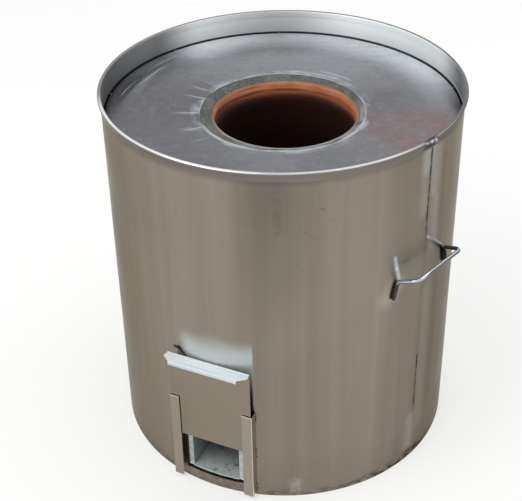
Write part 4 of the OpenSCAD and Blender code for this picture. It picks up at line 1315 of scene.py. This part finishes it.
# %% Clay, mortar and brick
def earthy(name, first, second, third, grain_scale, rough, depth):
    """A matte mineral finish: two colours in clouds, a third in fine grain, and bump from both.
    Returns the material, its shader, the coordinates and the colour for more changes."""
    made, skin = finish_of(name, Specular_IOR_Level=0.25)
    spot = place()
    clouds, sand = noise(spot, 22.0, 4.0), noise(spot, grain_scale, 3.0, 0.7)
    colour = painted(srgb(*first), (between(clouds, 0.35, 0.65), second),
                     (between(sand, 0.35, 0.75, 0, 0.35), third))
    connect(skin.inputs, Base_Color=colour,
            Roughness=between(sand, 0.2, 0.8, rough, min(rough + 0.12, 1.0)),
            Normal=bumped(calc("ADD", sand, times(clouds, 0.8)), 0.5, depth))
    print(name, "is ready")
    return made, skin, spot, colour


terracotta, skin, spot, colour = earthy("terracotta", (232, 148, 106), (208, 120, 80), (242, 176, 138), 420.0,
                                        0.82, 0.0008)
axes = axes_of(spot)
smoke_edge = noise(spot, 16.0, 3.0)
uneven_z = calc("ADD", axes["Z"], times(calc("SUBTRACT", smoke_edge, 0.5), 0.008))
streaks = noise(stretched(spot, (0.4, 0.4, 11)), 34.0)
# Painted shade on the left of the mouth.
shade_on_left = times(between(axes["X"], -0.04, -0.13), between(uneven_z, 0.684, 0.675), 0.6)
# A painted highlight along the top of the lip, then painted shade down the band and into the groove, and
# below it the clay is blackened by smoke.
colour = painted(colour, (between(uneven_z, 0.683, 0.692, 0, 0.55), (246, 188, 150)),
                 (between(uneven_z, 0.682, 0.673, 0, 0.60), (176, 92, 62)),
                 (between(streaks, 0.52, 0.70, 0, 0.45), (252, 196, 164)),
                 (between(streaks, 0.48, 0.32, 0, 0.45), (160, 78, 52)),
                 (between(uneven_z, 0.6745, 0.6690, 0, 0.75), (118, 64, 46)),
                 (between(uneven_z, 0.6690, 0.6570, 0, 0.95), (42, 21, 14)), (shade_on_left, (36, 20, 16)))
slurry = between(calc("ADD", axes["Z"], times(smoke_edge, 0.0030)), 0.6908, 0.6924, 0, 0.9)
slurry_tint = painted(srgb(128, 106, 92), (between(axes["Y"], 0.0, -0.12), (150, 156, 156)))
connect(skin.inputs, Base_Color=mixed(slurry, colour, slurry_tint))

mortar, skin, spot, colour = earthy("mortar", (108, 112, 106), (86, 91, 86), (136, 142, 136), 900.0, 0.85,
                                    0.0012)
axes = axes_of(spot)
grit = noise(spot, 170.0, 3.0, 0.7)
outline = times(between(from_axis(axes), 0.1580, 0.1606), between(axes["Y"], -0.06, 0.02), 0.65)
front_right = calc("SUBTRACT", times(axes["X"], 0.75), axes["Y"])
washed = times(between(front_right, 0.03, 0.15), between(noise(spot, 30.0, 4.0), 0.34, 0.56), 0.75)
colour = painted(colour, (between(grit, 0.55, 0.68, 0, 0.55), (150, 156, 152)),
                 (between(grit, 0.46, 0.34, 0, 0.60), (58, 62, 58)),
                 (outline, (52, 55, 53)), (washed, (166, 175, 179)))
connect(skin.inputs, Base_Color=colour)

smoked_mortar, *_ = earthy("smoked mortar", (70, 66, 62), (52, 48, 45), (92, 88, 82), 700.0, 0.88, 0.0012)
fire_brick, *_ = earthy("fire brick", (150, 132, 108), (118, 100, 80), (90, 78, 66), 300.0, 0.86, 0.0010)
ceramic_wool, *_ = earthy("ceramic wool", (226, 224, 216), (206, 203, 194), (240, 239, 234), 160.0, 0.9,
                          0.0030)
loose_fill, skin, spot, colour = earthy("loose fill", (190, 174, 138), (168, 150, 112), (214, 200, 168),
                                        240.0, 0.88, 0.0040)
air_hole = (-0.142, -0.314, 0.078)
sooted = between(vector_math("DISTANCE", spot, air_hole)["Value"], 0.130, 0.085, 0, 0.92)
connect(skin.inputs, Base_Color=painted(colour, (sooted, (34, 30, 27))))

# %% [markdown]
# ## Zinc, rod, weld, film and grate
# Galvanised sheet has large pale flakes of zinc, with painted shade deeper in the duct and on its left wall.
# The handle rod is bright drawn steel, with painted shade on its underside that reaches further round on one
# side of the grip. Its feet are black with weld scale and painted shade. Welds are rough black scale. The
# film is bluish white and a little glossy, with painted shade in its creases and on its front hem. The grate
# is iron with burnt scale.

# %% Galvanised sheet
galvanised, skin = finish_of("galvanised sheet")
spot = place()
bent_at = mixed(0.05, spot, add("ShaderNodeTexNoise", {"Vector": spot, "Scale": 30.0}).outputs["Color"])
flakes = add("ShaderNodeTexVoronoi", {"Vector": bent_at, "Scale": 90.0}).outputs["Color"]
flake = add("ShaderNodeSeparateColor", {0: flakes}).outputs[0]
stain = use(smudge_group, {"Vector": spot, "Scale": 11.0, "Spread": 0.52})["Smudge"]
axes, duct_axes = axes_of(spot), turned_axes(spot, gate_az)
depth_in = from_axis(axes)
shaded = times(between(duct_axes["X"], -0.0500, -0.0515), between(duct_axes["Y"], -0.3405, -0.3380))
cut_edge = times(between(depth_in, 0.3425, 0.3460), between(axes["Z"], 0.036, 0.033))
grubby = times(between(noise(spot, 60.0, 5.0, 0.7), 0.56, 0.68), between(axes["Z"], 0.060, 0.030))
# Painted shade deepens towards the pot inside the duct and lies on its left wall.
colour = painted(srgb(190, 204, 199), (flake, (214, 224, 220)),
                 (times(stain, 0.30), (128, 134, 124)),
                 (between(depth_in, 0.338, 0.235, 0, 0.85), (64, 74, 72)),
                 (times(shaded, 0.55), (56, 64, 62)), (times(cut_edge, 0.9), (246, 251, 251)),
                 (times(grubby, 0.75), (70, 66, 56)))
connect(skin.inputs, Base_Color=colour, Roughness=between(flake, 0, 1, 0.36, 0.52),
        Metallic=between(flake, 0, 1, 0.10, 0.28))
print(galvanised.name, len(trees[-1].nodes), "nodes")

# %% Rod, weld scale and solder
rod_steel, skin = finish_of("rod steel", Metallic=1.0)
spot = place()
marks = use(smudge_group, {"Vector": spot, "Scale": 18.0, "Spread": 0.5})["Smudge"]
facing_up = axes_of(add("ShaderNodeNewGeometry").outputs["Normal"])["Z"]
beside_seam = (math.cos(math.radians(seam_az)), math.sin(math.radians(seam_az)), 0)
wider_shade = between(vector_math("DOT_PRODUCT", spot, beside_seam)["Value"], -0.058, -0.030)
# Painted shade on the rod's underside, reaching further round on one side of the grip, and the feet are black
# with weld scale and painted shade.
colour = painted(srgb(188, 193, 202), (times(marks, 0.5), (150, 152, 156)),
                 (between(calc("SUBTRACT", facing_up, wider_shade), 0.15, -0.45), (88, 86, 96)),
                 (between(axes_of(spot)["Z"], 0.492, 0.480, 0, 0.92), (36, 32, 30)))
connect(skin.inputs, Base_Color=colour, Roughness=between(marks, 0, 1, 0.16, 0.34))


def crusty(name, dark, light, metal, rough, scale):
    """Rough melted or burnt metal: dark and light in small clouds, with a strong fine bump."""
    made, skin = finish_of(name, Metallic=metal)
    spot = place()
    crust = noise(spot, scale, 5.0, 0.65)
    pits = use(smudge_group, {"Vector": spot, "Scale": scale / 6, "Spread": 0.5})["Speck"]
    colour = painted(srgb(*dark), (between(crust, 0.42, 0.66), light), (times(pits, 0.5), dark))
    connect(skin.inputs, Base_Color=colour, Roughness=between(crust, 0.3, 0.7, rough, rough + 0.2),
            Normal=bumped(crust, 0.7, 0.0008))
    print(name, "is ready")
    return made


weld_scale = crusty("weld scale", (22, 19, 18), (78, 66, 58), 0.4, 0.5, 260.0)
# The solder's light clouds are painted highlights.
solder_metal = crusty("solder", (112, 112, 126), (222, 224, 242), 0.80, 0.30, 120.0)
dull_weld = crusty("dull weld", (70, 64, 60), (148, 140, 132), 0.7, 0.4, 220.0)
grate_iron = crusty("grate iron", (26, 24, 23), (74, 64, 58), 0.5, 0.6, 130.0)
foot_steel = crusty("foot steel", (92, 88, 82), (138, 132, 124), 0.9, 0.4, 60.0)

# %% Film
film_skin, skin = finish_of("protective film", Specular_IOR_Level=0.5)
uv = add("ShaderNodeUVMap", uv_map="sheet").outputs[0]
creased = noise(stretched(uv, (9, 260, 1)), 1.0, 4.0, 0.5, 0.4)
# Painted shade in the creases, and on the front hem of the lip.
colour = painted(srgb(222, 236, 250), (between(creased, 0.36, 0.52), (246, 253, 255)),
                 (between(axes_of(uv)["Y"], 0.0275, 0.0295, 0, 0.5), (220, 222, 238)))
connect(skin.inputs, Base_Color=colour, Roughness=between(creased, 0.3, 0.7, 0.22, 0.42),
        Normal=bumped(creased, 0.30, 0.0010))
print(film_skin.name, "is ready")

# %% [markdown]
# ## Put the finishes on
# New pieces take one finish each. The drum and the rim take two: their faces that look inwards, above
# the tray, get the inside steel. The CAD meshes that stay are given their finishes in their own slots.

# %% Put the finishes on
for finish, pieces in ((drum_steel, [drum]), (rim_steel, [rim]), (gate_steel, [gate]), (film_skin, [film]),
                       (tray_steel, [plate]), (terracotta, [pot]), (mortar, [mortar_ring]),
                       (guide_steel, guides), (galvanised, [*duct_walls, duct_bottom]), (rod_steel, handles),
                       (weld_scale, [foot_welds]), (solder_metal, [solder])):
    for piece in pieces:
        piece.data.materials.append(finish)

tray_side = 0.68
for piece, steepest in ((drum, 0.5), (rim, 0.75)):
    piece.data.materials.append(inside_steel)
    middles, normals = np.empty((2, len(piece.data.polygons) * 3), np.float32)
    piece.data.polygons.foreach_get("center", middles)
    piece.data.polygons.foreach_get("normal", normals)
    middles, normals = middles.reshape(-1, 3), normals.reshape(-1, 3)
    outward = np.sum(middles[:, :2] * normals[:, :2], 1) / np.linalg.norm(middles[:, :2], axis=1)
    inward = (outward < -steepest) & (middles[:, 2] > tray_side)
    piece.data.polygons.foreach_set("material_index", inward.astype(np.int32))
    print(piece.name, int(inward.sum()), "inside faces")

for finish, names in {foot_steel: ["plate_brackets", "base_plate", "base_ring"],
                      dull_weld: ["plate_tacks", "guide_welds"], smoked_mortar: ["pot_seal", "duct_mortar"],
                      ceramic_wool: ["wool_blanket"], loose_fill: ["granular_fill"],
                      fire_brick: ["hearth_bricks"], galvanised: ["duct_lid"],
                      grate_iron: ["grate_ring", "grate_bars", "grate_legs"]}.items():
    for name in names:
        for held in nodes[name].material_slots:
            held.material = finish
print(len(bpy.data.materials), "finishes")
